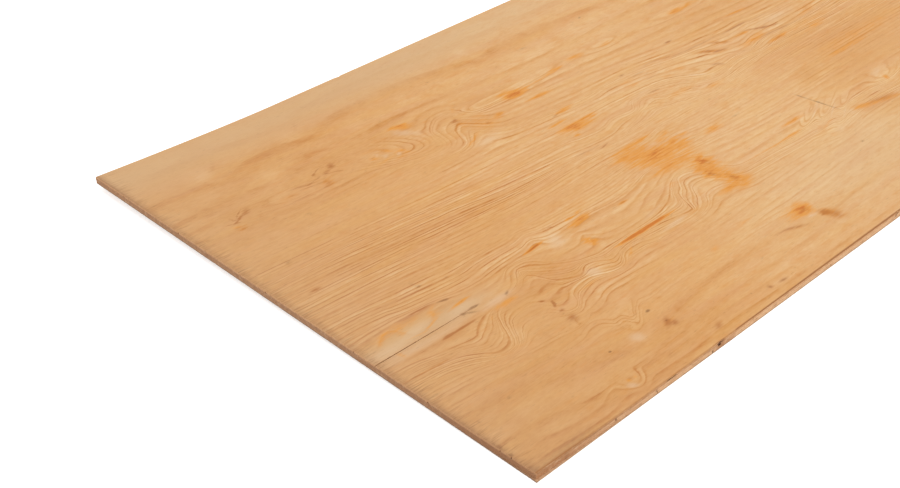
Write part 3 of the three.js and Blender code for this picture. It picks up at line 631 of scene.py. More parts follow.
# Pale marks: wood that is almost white, inside the loops and beside the split.
PALE_MARKS = (
    (128, 402, 32, 12, 6, 0.5), (296, 362, 36, 9, 4, 0.8), (220, 388, 40, 12, 10, 0.5),
    (40, 388, 60, 16, 0, 0.6), (110, 360, 120, 10, 0, 0.6), (482, 294, 18, 14, -30, 0.85),
    (510, 415, 26, 18, 45, 0.8), (590, 920, 34, 12, -42, 0.8), (692, 774, 44, 14, 0, 0.6),
    (386, 112, 16, 12, -30, 0.8), (278, 34, 12, 6, -30, 0.9), (940, 116, 12, 5, 0, 1.0),
    (965, 60, 20, 10, 0, 0.4), (725, 290, 44, 6, 3, 0.8), (481, 896, 6, 8, -30, 0.6),
    (493, 880, 8, 7, -40, 0.7), (522, 868, 7, 6, 30, 1.0), (170, 330, 40, 8, 0, 0.2),
    (720, 345, 40, 6, 10, 0.6), (240, 270, 12, 22, -10, 0.3), (1040, 660, 40, 8, 0, 0.4),
    (1100, 672, 26, 8, 0, 0.5), (1500, 706, 50, 6, 0, 0.5), (1630, 686, 70, 16, -2, 0.6),
    (1260, 632, 40, 5, -40, 0.6), (700, 925, 16, 8, 0, 0.4), (165, 1078, 26, 20, 30, 0.4),
    (925, 510, 22, 5, 8, 0.7), (950, 900, 60, 6, 2, 0.3), (855, 350, 14, 24, -20, 0.4),
    (1560, 352, 26, 8, 20, 0.6), (378, 398, 6, 16, -40, 0.3), (1300, 348, 60, 2.2, 23, 0.6),
    (1335, 324, 60, 2.4, 26, 0.6), (1356, 288, 16, 9, 30, 0.5), (1270, 262, 16, 8, 10, 0.4),
    (1348, 301, 50, 2, 27, 0.5),
)


# How far a ring line may lie from its home, how far good and bad years shift the rings, and how
# far the years reach across the sheet, all in mm.
MOST_SHIFT = 100.0
YEARS_SHIFT = 10.0
YEARS_LENGTH = 16.0


def growth(tree, place):
    """How many growth rings lie below each place on the face, as a number that rises with it."""
    axes = add(tree, "ShaderNodeSeparateXYZ", {"Vector": place})
    along = maths(tree, "DIVIDE", axes.outputs[0], SHEET_LENGTH)
    across = axes.outputs[1]
    # the rings never run quite straight: they wander by a few millimetres
    for length, width, reach in ((420, 46, 9.0), (110, 14, 4.0), (30, 7, 2.0)):
        wander = stretched_noise(tree, place, length, width, detail=1.0, offset=length)
        wander = maths(tree, "MULTIPLY_ADD", wander, reach, -reach / 2)
        across = maths(tree, "ADD", across, wander)
    # between one line and the next, the level rises evenly from the first home to the second
    level = None
    home_before = 0.0
    line_before = 0.0
    for home, line in (*RING_LINES, (SHEET_WIDTH, ())):
        line_here = home
        if line:
            points = [(distance / SHEET_LENGTH, 0.5 + (place_across - home) / (2 * MOST_SHIFT),
                       *sharp) for distance, place_across, *sharp in line]
            curve = curve_of(tree, along, points, "AUTO")
            line_here = maths(tree, "MULTIPLY_ADD", curve, 2 * MOST_SHIFT, home - MOST_SHIFT)
        rise = ranged(tree, across, line_before, line_here, 0, home - home_before)
        level = maths(tree, "ADD", level, rise) if level else rise
        home_before = home
        line_before = line_here
    # good and bad years: the rings are bunched in some places and spread in others
    years = add(tree, "ShaderNodeTexNoise", {
        "W": level, "Scale": 1 / YEARS_LENGTH, "Detail": 1.0}, noise_dimensions="1D")
    level = maths(tree, "MULTIPLY_ADD", years, YEARS_SHIFT, level)
    share = maths(tree, "SUBTRACT", level, YEARS_SHIFT / 2)
    share = maths(tree, "DIVIDE", share, SHEET_WIDTH)
    points = [(place_across / SHEET_WIDTH, rings / MOST_RINGS) for place_across, rings in RINGS_CUT]
    rings = maths(tree, "MULTIPLY", curve_of(tree, share, points), MOST_RINGS)
    return marks(tree, place, SWELLINGS, rings)


# How strongly the rings show where RING_STRENGTHS says nothing, and where they show least.
USUAL_STRENGTH = 0.34
LEAST_STRENGTH = 0.03
# How far along the grain a ring keeps its darkness, in mm, and how unlike its neighbour it is.
FADING_LENGTH = 85
FADING_STEP = 0.9


def ring_shade(tree, place, rings):
    """How dark the growth rings and the fine grain make the face, from 0, pale, to 1, dark brown.
    Returns that, how dense the latewood is, the place's axes and its share of the length."""
    phase = maths(tree, "FRACT", rings)
    ring_number = maths(tree, "FLOOR", rings)
    # earlywood is pale, darkens through latewood, and ends at a sharp line
    late = curve_of(tree, phase, ((0, 0.45), (0.08, 0.14), (0.22, 0.04), (0.5, 0.14), (0.7, 0.42),
                                  (0.84, 0.9), (0.92, 1.0), (1.0, 0.6)))
    late = maths(tree, "SUBTRACT", late, 0.38)
    later = after(tree, place, rings)
    strength = marks(tree, later, RING_STRENGTHS, USUAL_STRENGTH)
    each = add(tree, "ShaderNodeTexWhiteNoise", {"W": ring_number}, noise_dimensions="1D")
    each = ranged(tree, each, 0, 1, 0.35, 1.3)
    # each ring fades and darkens along its own length
    axes = add(tree, "ShaderNodeSeparateXYZ", {"Vector": place})
    along_ring = maths(tree, "MULTIPLY", axes.outputs[0], 1 / FADING_LENGTH)
    across_rings = maths(tree, "MULTIPLY", rings, FADING_STEP)
    fading = add(tree, "ShaderNodeCombineXYZ", {0: along_ring, 1: across_rings})
    fading = add(tree, "ShaderNodeTexNoise", {
        "Vector": fading, "Scale": 1.0, "Detail": 3.0, "Roughness": 0.6}, noise_dimensions="2D")
    fading = ranged(tree, fading, 0.36, 0.62, 0.2, 1.5)
    for factor in (each, fading):
        strength = maths(tree, "MULTIPLY", strength, factor)
    strength = maths(tree, "MAXIMUM", strength, LEAST_STRENGTH)
    # the face is darkest at the near end and palest near the middle of the sheet
    along = maths(tree, "DIVIDE", axes.outputs[0], SHEET_LENGTH)
    darker_near_end = curve_of(tree, along, ((0, 0.61), (0.1, 0.555), (0.2, 0.485), (0.33, 0.385), (0.5, 0.31),
                                  (0.65, 0.40), (1.0, 0.43)))
    shade = marks(tree, after(tree, place, strength), SHADES, darker_near_end)
    shade = maths(tree, "MULTIPLY_ADD", late, strength, shade)
    # the sander has left the finest grain fainter in the far half
    smoother = ranged(tree, along, 0.38, 0.62, 1.0, 0.65)
    for length, width, depth, offset, fine in (
            (700, 90, 0.12, 5, False), (110, 26, 0.12, 31, False), (46, 20, 0.17, 23, False),
            (55, 2.6, 0.23, 17, True), (16, 5, 0.30, 3, True)):
        grain = stretched_noise(tree, place, length, width, detail=2.0, offset=offset)
        grain = maths(tree, "SUBTRACT", grain, 0.5)
        if fine:
            grain = maths(tree, "MULTIPLY", grain, smoother)
        shade = maths(tree, "MULTIPLY_ADD", grain, depth, shade)
    return shade, late, axes, along


def with_pitch(tree, colour, place, frayed, torn, late, before):
    """Pitch lies in the rings, so it is streaked along the grain: yellow-orange where it is thin,
    and red-orange in its core. It is worked out when before is, see after(). Returns the colour
    and where the core is."""
    colours = bpy.context.scene.plywood_colours
    pitch = marks(tree, after(tree, frayed, before), PITCH_PATCHES)
    pitch = marks(tree, after(tree, torn, pitch), PITCH_STREAKS, pitch, smooth=False)
    fine_streaks = stretched_noise(tree, place, 34, 6, detail=4.0, offset=71, roughness=0.65)
    soaked = ranged(tree, fine_streaks, 0.3, 0.7, 0.5, 1.45)
    soaked = maths(tree, "MULTIPLY_ADD", late, 0.25, soaked)
    pitch = maths(tree, "MULTIPLY", pitch, soaked)
    thin = ranged(tree, pitch, 0.04, 0.7, 0, 0.85, "SMOOTHSTEP")
    colour = tinted(tree, colour, thin, colours.pitch)
    core = ranged(tree, pitch, 0.6, 1.3, 0, 0.85, "SMOOTHSTEP")
    return tinted(tree, colour, core, colours.pitch_core), core


def with_rims(tree, colour, place, axes, along, speck):
    """Handling dirt: faint along the near end, crept into the open grain there, and a brown line
    along the front edge."""
    near_rim = ranged(tree, axes.outputs[0], 28, 0, 0, 0.33, "SMOOTHERSTEP")
    near_rim = marks(tree, place, ((0, 0, 60, 24, 0, 0.24), (0, 160, 5, 110, 0, 0.2),
                                   (0, 1150, 4, 120, 0, 0.3), (105, 10, 60, 12, 0, 0.3)), near_rim)
    rubbed = feathered(tree, near_rim, speck, 0.0, 0.8, 0.3)
    colour = tinted(tree, colour, rubbed, "#a67b59")
    crept = stretched_noise(tree, place, 42, 3.4, detail=3.0, offset=83, roughness=0.6)
    crept = ranged(tree, crept, 0.5, 0.72, 0, 0.8)
    from_end = ranged(tree, axes.outputs[0], 46, 0)
    crept = maths(tree, "MULTIPLY", crept, from_end)
    colour = tinted(tree, colour, crept, "#9a6a42")
    widest = 20.0
    reach = curve_along(tree, along, [(distance, width / widest) for distance, width in (
        (0, 12), (60, 11), (110, 9), (150, 7), (280, 5.4), (440, 4.6), (700, 5.4), (860, 6.6),
        (2438, 7))])
    reach = maths(tree, "MULTIPLY", reach, widest)
    front_rim = ranged(tree, axes.outputs[1], reach, 2.2, shape="SMOOTHSTEP")
    soiled = curve_along(tree, along, (
        (0, 1.0), (60, 0.95), (120, 0.72), (205, 0.5), (440, 0.45), (468, 0.5), (482, 0.85),
        (492, 0.5), (522, 0.45), (532, 0.85), (700, 0.95), (1040, 0.95), (1800, 0.8), (2438, 0.6)))
    front_rim = maths(tree, "MULTIPLY", front_rim, soiled)
    front_rim = feathered(tree, front_rim, speck, 0.0, 0.9, 0.25)
    return tinted(tree, colour, front_rim, "#a87042")


def face_material():
    """Rotary-cut softwood, sanded and handled: broad wavy growth rings, orange pitch streaks,
    brown knot traces and a dull skin that is darker toward the near end."""
    material, tree, shader = new_material("rotary_cut_softwood_face_sanded", 0.62, 0.16)
    colours = bpy.context.scene.plywood_colours
    place = place_on(tree, with_height=False)
    shade, late, axes, along = ring_shade(tree, place, growth(tree, place))
    later = after(tree, place, shade)
    frayed = ragged(tree, later, 22)
    torn = ragged(tree, later, 7)
    colour = ramp_of(tree, shade, (
        (0.0, "#eec896"), (0.2, "#e8bb86"), (0.4, "#e1ac72"), (0.55, "#dba266"), (0.7, "#d39556"),
        (0.85, "#c98546"), (1.0, "#ba7135")))
    # some of the wood is yellower, and some pinker
    hue = stretched_noise(tree, place, 190, 30, detail=3.0, offset=57)
    colour = tinted(tree, colour, ranged(tree, hue, 0.5, 0.72, 0, 0.2), "#e8b263")
    colour = tinted(tree, colour, ranged(tree, hue, 0.5, 0.3, 0, 0.35), "#dfa675")
    # warmer flecks the size of a fingertip
    mottled = stretched_noise(tree, place, 38, 11, detail=3.0, offset=95, roughness=0.6)
    colour = tinted(tree, colour, ranged(tree, mottled, 0.52, 0.74, 0, 0.42), "#dd9850")
    # a grey skin of age and dirt, near the end and along the back edge
    worn = curve_of(tree, along, ((0, 0.42), (0.04, 0.30), (0.12, 0.12), (0.25, 0.0), (1.0, 0.0)))
    worn = marks(tree, later, ((300, 1175, 700, 70, 0, 0.42), (900, 1175, 500, 70, 0, 0.35),
                               (120, 392, 130, 26, 0, 0.4), (1250, 160, 300, 100, 0, 0.25),
                               (230, 385, 60, 18, 0, 0.3)), worn)
    colour = tinted(tree, colour, worn, "#d5af84")
    grain = stretched_noise(tree, place, 40, 4, detail=4.0, offset=9, roughness=0.65)
    pale = feathered(tree, marks(tree, torn, PALE_MARKS), grain, 0.1, 1.0, 0.4)
    pale = maths(tree, "MULTIPLY", pale, 0.42)
    colour = tinted(tree, colour, pale, "#e9cbaa")
    colour, core = with_pitch(tree, colour, place, frayed, torn, late, pale)
    later = after(tree, torn, core)
    brown = feathered(tree, marks(tree, later, BROWN_MARKS, smooth=False), grain, 0.05, 0.8, 0.8)
    brown = maths(tree, "MULTIPLY", brown, 0.62)
    colour = tinted(tree, colour, brown, colours.stain)
    speck = stretched_noise(tree, place, 7, 3, detail=3.0, offset=12)
    later = after(tree, place, brown)
    grey = feathered(tree, marks(tree, later, GREY_MARKS, smooth=False), speck, 0.15, 0.9, 0.5)
    flecks = stretched_noise(tree, place, 16, 1.7, detail=2.0, offset=64)
    grey = maths(tree, "MAXIMUM", grey, ranged(tree, flecks, 0.63, 0.76, 0, 0.4))
    grey = maths(tree, "MULTIPLY", grey, 0.6)
    colour = tinted(tree, colour, grey, colours.dirt)
    colour = with_rims(tree, colour, place, axes, along, speck)
    # raised grain and the scuffs of sanding, a few hundredths of a millimetre deep
    relief = stretched_noise(tree, place, 90, 1.8, detail=3.0, offset=40)
    surfaced(tree, shader, colour, relief, 0.35, 0.06)
    gloss = ranged(tree, relief, 0, 1, 0.54, 0.72)
    tree.links.new(gloss.outputs[0], shader.inputs["Roughness"])
    return material


def edge_material(name, fresh, front, edge_tints, offset):
    """A sawn veneer edge: open grain with darker pores, browned by handling.

    Fresh is the ramp of clean wood, and front says how dirty the long edges are along the sheet.
    Edge tints are the colours of the long edges' dirt, of the near end and of its worn corner.
    On the face and core veneers some are painted lighter, as painted light, and on the back veneer
    they are darker, as painted shade.
    """
    material, tree, shader = new_material(name, 0.85, 0.2)
    front_colour, end_colour, corner_colour = edge_tints
    place = place_on(tree)
    axes = add(tree, "ShaderNodeSeparateXYZ", {"Vector": place})
    along = maths(tree, "DIVIDE", axes.outputs[0], SHEET_LENGTH)
    pores = stretched_noise(tree, place, 5.0, 1.2, detail=4.0, offset=4, roughness=0.6)
    colour = ramp_of(tree, pores, fresh)
    end = ranged(tree, axes.outputs[0], 5.0, 1.0, shape="SMOOTHSTEP")
    speck = stretched_noise(tree, place, 26, 4, detail=3.0, offset=8)
    soiled = feathered(tree, curve_along(tree, along, front), speck, 0.1, 0.9, 0.4)
    colour = tinted(tree, colour, soiled, front_colour)
    end = maths(tree, "MULTIPLY", end, ranged(tree, speck, 0.25, 0.7, 0.7, 1.0))
    colour = tinted(tree, colour, end, end_colour)
    # the saw has torn the fibres here and there: dirt has caught in some places, and others
    # show clean wood
    blotches = stretched_noise(tree, place, 15, 9, detail=3.0, offset=offset, roughness=0.62)
    for start, full, most, code in ((0.52, 0.70, 0.38, "#946a4b"), (0.47, 0.30, 0.42, "#ecc9a2")):
        colour = tinted(tree, colour, ranged(tree, blotches, start, full, 0, most), code)
    corner = marks(tree, place, ((0, 60, 40, 130, 0, 0.9), (0, 300, 40, 120, 0, 0.3)))
    corner = maths(tree, "MULTIPLY", corner, end)
    colour = tinted(tree, colour, corner, corner_colour)
    relief = stretched_noise(tree, place, 1.6, 0.9, detail=4.0, offset=2)
    surfaced(tree, shader, colour, relief, 0.6, 0.3)
    return material


def face_edge_material():
    """The sawn edge of the face veneer: side grain, dark with dirt and glue along the front."""
    # the near end's colour, as light as the face, is painted light: it lifts the shade on the near
    # end, which faces away from the sun
    return edge_material(
        "sawn_face_veneer_edge", ((0.3, "#d8a172"), (0.5, "#e2ab7a"), (0.7, "#ebb786")),
        ((0, 1.0), (110, 0.8), (280, 0.6), (468, 0.55), (484, 1.0), (492, 0.35), (522, 0.3),
         (536, 0.25), (2438, 0.25)),
        ("#c08a60", "#dfab7e", "#c9966c"), offset=33)


def core_edge_material():
    """Rotary-cut core veneer, sawn: end grain on the long edges, pale and porous, and side grain
    on the short ones, which handling has turned grey-brown."""
    # the clean wood's colours and the grey-brown near end are painted lighter than the wood:
    # painted light that lifts the shade on these upright sides
    return edge_material(
        "sawn_core_veneer_edge", ((0.3, "#e4b081"), (0.5, "#ecbb8c"), (0.7, "#f2c498")),
        ((0, 0.95), (60, 0.85), (110, 0.6), (205, 0.45), (375, 0.3), (470, 0.45), (484, 0.8),
         (492, 0.55), (522, 0.5), (536, 0.0), (2438, 0.0)),
        ("#c08a60", "#bd8e6b", "#a87653"), offset=52)


def back_edge_material():
    """The sawn edge of the back veneer, painted darker and greyer than the core's edges: painted
    contact shade along the bottom of the sheet, where it rests on the floor.
    """
    return edge_material(
        "sawn_back_veneer_edge", ((0.3, "#c3a080"), (0.5, "#cdab89"), (0.7, "#d6b594")),
        ((0, 0.5), (300, 0.3), (468, 0.5), (484, 1.0), (524, 0.9), (534, 0.0), (2438, 0.0)),
        ("#b98f70", "#aa866b", "#9c765b"), offset=71)


def back_material():
    """Rotary-cut softwood of the back grade: unsanded, with coarse rings and a few knots."""
    material, tree, shader = new_material("rotary_cut_softwood_back_unsanded", 0.78, 0.25)
    place = place_on(tree, with_height=False)
    axes = add(tree, "ShaderNodeSeparateXYZ", {"Vector": place})
    wander = stretched_noise(tree, place, 520, 120, detail=2.0, offset=77)
    ring_width = 34
    level = maths(tree, "MULTIPLY", axes.outputs[1], 1 / ring_width)
    level = maths(tree, "MULTIPLY_ADD", wander, 14.0, level)
    knots = ((420, 330, 60, 22, 0, 5.0), (1180, 860, 80, 26, 0, 6.0), (1890, 420, 70, 24, 0, 5.0),
             (760, 980, 50, 18, 0, 4.0), (2140, 930, 60, 24, 0, 5.0))
    level = marks(tree, place, knots, level)
    phase = maths(tree, "FRACT", level)
    late = curve_of(tree, phase, (
        (0, 0.3), (0.06, 0.0), (0.5, 0.2), (0.85, 0.9), (0.95, 1.0), (1, 0.6)))
    fibres = stretched_noise(tree, place, 80, 2, detail=3.0, offset=6)
    shade = maths(tree, "MULTIPLY_ADD", late, 0.34, 0.3)
    shade = maths(tree, "MULTIPLY_ADD", fibres, 0.25, shade)
    colour = ramp_of(tree, shade, (
        (0.2, "#dfb589"), (0.45, "#d3a472"), (0.65, "#c4915e"), (0.9, "#a8744a")))
    hearts = tuple((along, across, 16, 11, 0, 1.0) for along, across, *_ in knots)
    heart = feathered(tree, marks(tree, place, hearts), fibres, 0.35, 0.75, 0.3)
    surfaced(tree, shader, tinted(tree, colour, heart, "#7c4a28"), fibres)
    return material


def plain_material(name, roughness, specular, lumps, stops, raised=False):
    """A material of one kind of lump, (along, across, detail, offset), coloured by a ramp."""
    material, tree, shader = new_material(name, roughness, specular)
    along, across, detail, offset = lumps
    tone = stretched_noise(tree, place_on(tree), along, across, detail=detail, offset=offset)
    surfaced(tree, shader, ramp_of(tree, tone, stops), tone if raised else None)
    return material


def core_material():
    """The broad faces of the core veneer: rotary cut across the sheet, seen only down the split,
    the chips and the gaps, where glue has darkened it."""
    # these colours are painted light, lighter than the glued wood, to lift the shade down the
    # split, the chips and the gaps
    return plain_material(
        "rotary_cut_core_veneer_glued", 0.85, 0.2, (3, 90, 3.0, 11),
        ((0.3, "#b78c68"), (0.5, "#c89e78"), (0.7, "#d8b08a")), raised=True)


def glue_material():
    """Cured phenolic resin glue: a thin hard film, so it is dark red-brown with a slight shine."""
    return plain_material(
        "cured_phenolic_glue", 0.4, 0.5, (14, 14, 3.0, 21), ((0.3, "#6b4630"), (0.7, "#8a6247")))


def fibre_material():
    """Torn softwood fibres: fresh wood, paler than the sanded face and quite dull."""
    return plain_material(
        "torn_softwood_fibres", 0.9, 0.15, (9, 3, 2.0, 13),
        ((0.3, "#b98a5e"), (0.5, "#c99a68"), (0.7, "#d6ab7c")))


# ---------------------------------------------------------------- building meshes

# Points closer together than this, in mm, are one point of a CAD mesh.
SAME_POINT = 0.005
# How near to a side of the sheet, in mm, an outline has to run to be sawn.
SAWN_CLOSE = 0.05
# How steeply a face looks up before it counts as part of a CAD veneer's top.
LOOKS_UP = 0.5
# Steps, in mm, between the points of torn places and of the plain joints between strips. An
# outline with no more corners than PLAIN_CORNERS has no torn places.
TORN_STEP = 4.0
PLAIN_STEP = 40.0
PLAIN_CORNERS = 12
# The grid that lets a veneer bend, in mm, and how far it keeps from the outline.
GRID_STEPS = (15.0, 60.0)
GRID_MARGIN = 6.0
# How far apart two points have to be, in mm, for the filling of an outline to keep both.
FILL_CLOSE = 1e-4
# How deep torn places and the joints between strips are roughened, in mm.
TORN_ROUGHNESS = 0.5
JOINT_ROUGHNESS = 0.2


def lift(x, y):
    """How high the warp lifts the sheet at a place, in millimetres."""
    rise = max(0.0, 1 - (x - NEAR_END) / size("bend_length"))
    across = (y - FRONT_EDGE) / SHEET_WIDTH
    return CORNER_LIFT * across * rise ** bpy.context.scene.plywood_sizes.bend_power


def bent(points):
    """Points of the flat sheet, in millimetres, where the warp takes them, in metres."""
    return [Vector((x, y, z + lift(x, y))) * MM for x, y, z in points]


def stretches(outline):
    """Each point of a closed outline with the one after it."""
    return zip(outline, outline[1:] + outline[:1])


def noise_at(point, scale, layer):
    """Noise from -1 to 1 at a point of an outline. Its lumps are about 1 / scale mm wide."""
    return noise.noise(Vector((point.x * scale, point.y * scale, layer)))


def outline_of(node):
    """The outline of a CAD veneer seen from above, counter-clockwise, in millimetres."""
    mesh = bmesh.new()
    mesh.from_mesh(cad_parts[node].data)
    bmesh.ops.remove_doubles(mesh, verts=mesh.verts, dist=SAME_POINT * MM)
    mesh.normal_update()
    following = {}
    for face in mesh.faces:
        if face.normal.z < LOOKS_UP:
            continue
        for loop in face.loops:
            if all(other is face or other.normal.z < LOOKS_UP for other in loop.edge.link_faces):
                following[loop.vert] = loop.link_loop_next.vert
    start = next(iter(following))
    outline = [start.co.xy / MM]
    vert = following[start]
    while vert is not start:
        outline.append(vert.co.xy / MM)
        vert = following[vert]
    mesh.free()
    return outline


def side_of(first, second):
    """Which sawn side of the sheet a stretch of outline lies on: "end", "long" or "inner"."""
    for side, axis, place in (("end", 0, NEAR_END), ("end", 0, FAR_END),
                              ("long", 1, FRONT_EDGE), ("long", 1, BACK_EDGE)):
        if max(abs(first[axis] - place), abs(second[axis] - place)) < SAWN_CLOSE:
            return side
    return "inner"


def sawn_outline(outline, rough, step, inner_step, seed):
    """Divides an outline and tears it back by small random depths, given for each side of the
    sheet. Returns the torn points and, for each, the direction into the wood."""
    points = []
    sides = []
    for first, second in stretches(outline):
        side = side_of(first, second)
        length = (second - first).length
        count = max(1, round(length / (inner_step if side == "inner" else step)))
        for number in range(count):
            points.append(first.lerp(second, number / count))
            sides.append(side)
    torn = []
    inward = []
    for number, point in enumerate(points):
        before = points[number - 1]
        following = points[(number + 1) % len(points)]
        along = (following - before).normalized()
        normal = Vector((-along.y, along.x))
        depth = rough[sides[number]]
        # single fibres, on a slower swing of the saw that goes up to 0.3 of the depth
        fibres = max(0.0, noise_at(point, 0.31, seed * 17.3)) * depth
        swing = (0.5 + 0.5 * noise_at(point, 0.011, seed * 5.1)) * depth * 0.3
        torn.append(point + normal * (fibres + swing))
        inward.append(normal)
    return torn, inward


def grid_inside(outline):
    """Points on a grid over the bent part of the sheet that lie well inside the outline."""
    step_x, step_y = GRID_STEPS
    low_x = min(point.x for point in outline)
    high_x = min(max(point.x for point in outline), NEAR_END + size("bend_length"))
    low_y = min(point.y for point in outline)
    high_y = max(point.y for point in outline)
    columns = max(0, ceil((high_x - low_x) / step_x))
    rows = max(1, ceil((high_y - low_y) / step_y))
    edge = KDTree(len(outline))
    for number, point in enumerate(outline):
        edge.insert(point.to_3d(), number)
    edge.balance()
    found = []
    for column in range(1, columns + 1):
        for row in range(1, rows):
            point = Vector((low_x + (high_x - low_x) * column / columns,
                            low_y + (high_y - low_y) * row / rows))
            if edge.find(point.to_3d())[2] > GRID_MARGIN:
                found.append(point)
    return found


def veneer_mesh(name, outline, bottom, top, rough, materials, arris=(0.0, 0.0), step=None, seed=0):
    """One veneer as a closed mesh: an outline seen from above, filled, given its thickness and
    bent to the warp. Arris gives how far its top and bottom corners are rubbed off. The materials
    are for the top, the sawn sides and, where there is a third, the underside."""
    step = step or size("end_step")
    inner_step = min(step, TORN_STEP) if len(outline) > PLAIN_CORNERS else PLAIN_STEP
    torn, inward = sawn_outline(outline, rough, step, inner_step, seed)
    count = len(torn)
    inside = grid_inside(torn)
    flat = torn + inside
    ring = [(number, (number + 1) % count) for number in range(count)]
    placed, _, triangles, origins, _, _ = delaunay_2d_cdt(flat, ring, [], 1, FILL_CLOSE)
    if len(placed) != len(flat):
        raise RuntimeError(f"the outline of {name} crosses itself")
    source = [origin[0] for origin in origins]
    # each level down the side has a height, and how far it is set in: None for a rough middle
    levels = [(top, arris[0]), (top - arris[0], 0.0)] if arris[0] else [(top, 0.0)]
    levels += [((top + bottom) / 2, None)]
    levels += [(bottom + arris[1], 0.0), (bottom, arris[1])] if arris[1] else [(bottom, 0.0)]
    verts = []
    for height, inset in levels:
        for point, normal in zip(torn, inward):
            depth = inset
            if depth is None:
                depth = max(0.0, noise_at(point, 0.5, seed * 3.3 + height)) * rough["long"]
            verts.append((*(point + normal * depth), height))
    for height in (top, bottom):
        verts += [(point.x, point.y, height) for point in inside]
    first_inside = len(levels) * count

    def corner(index, on_top):
        if index < count:
            return index if on_top else (len(levels) - 1) * count + index
        return first_inside + index - count + (0 if on_top else len(inside))

    faces = []
    slots = []
    for triangle in triangles:
        a, b, c = (flat[source[index]] for index in triangle)
        turned = (b - a).cross(c - a) < 0
        ordered = [source[index] for index in (reversed(triangle) if turned else triangle)]
        faces.append([corner(index, True) for index in ordered])
        faces.append([corner(index, False) for index in reversed(ordered)])
        slots += [0, 2 if len(materials) > 2 else 0]
    for level in range(len(levels) - 1):
        above, below = level * count, (level + 1) * count
        for here, following in ring:
            faces.append((above + here, below + here, below + following, above + following))
            slots.append(1)
    mesh = bpy.data.meshes.new(name)
    mesh.from_pydata(bent(verts), [], faces)
    mesh.polygons.foreach_set("material_index", slots)
    for material in materials:
        mesh.materials.append(material)
    mesh.validate()
    return mesh


def lay_out(mesh):
    """Gives the mesh a map for baking: most of it is the upper side of the sheet, then the
    underside, then a strip for each sawn side."""
    upper, lower, strip = 0.62, 0.24, 0.03
    margin = 0.004
    level = 0.9
    layer = mesh.uv_layers.new(name="OFBake")
    low_z = min(vert.co.z for vert in mesh.vertices) / MM
    high_z = max(vert.co.z for vert in mesh.vertices) / MM
    for face in mesh.polygons:
        for index in face.loop_indices:
            point = mesh.vertices[mesh.loops[index].vertex_index].co / MM
            share_x = (point.x - NEAR_END) / SHEET_LENGTH
            share_y = (point.y - FRONT_EDGE) / SHEET_WIDTH
            share_z = (point.z - low_z) / (high_z - low_z)
            if face.normal.z > level:
                place = (share_x, margin + share_y * (upper - 2 * margin))
            elif face.normal.z < -level:
                place = (share_x, upper + margin + share_y * (lower - 2 * margin))
            else:
                sides = ((-face.normal.y, share_x), (face.normal.y, share_x),
                         (-face.normal.x, share_y), (face.normal.x, share_y))
                number = max(range(4), key=lambda side: sides[side][0])
                base = upper + lower + number * strip
                place = (sides[number][1], base + margin + share_z * (strip - 2 * margin))
            layer.data[index].uv = (margin + place[0] * (1 - 2 * margin), place[1])


def show(name, mesh, replaced=()):
    """Puts a finished mesh in the scene, riding on the sheet's body."""
    piece = bpy.data.objects.new(name, mesh)
    bpy.context.scene.collection.objects.link(piece)
    if replaced:
        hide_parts(*replaced)
    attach(piece, "root")


def show_outer_veneer(node, materials, arris, seed):
    """Builds the face or the back veneer and puts it in the scene."""
    name = node + "_wood"
    bottom, top = layer_of(node, size("face_thickness"))
    rough = {"end": size("end_roughness"), "long": size("side_roughness"),
             "inner": TORN_ROUGHNESS}
    mesh = veneer_mesh(name, outline_of(node), bottom, top, rough, materials, arris, seed=seed)
    lay_out(mesh)
    show(name, mesh, (node,))


# ---------------------------------------------------------------- torn fibres

# Where fibres bridge the split, in mm from its mouth, and how deep they lie below the face.
BRIDGES = ((45, 56), (82, 96), (187, 209))
BRIDGE_DEPTHS = (0.9, 0.6)


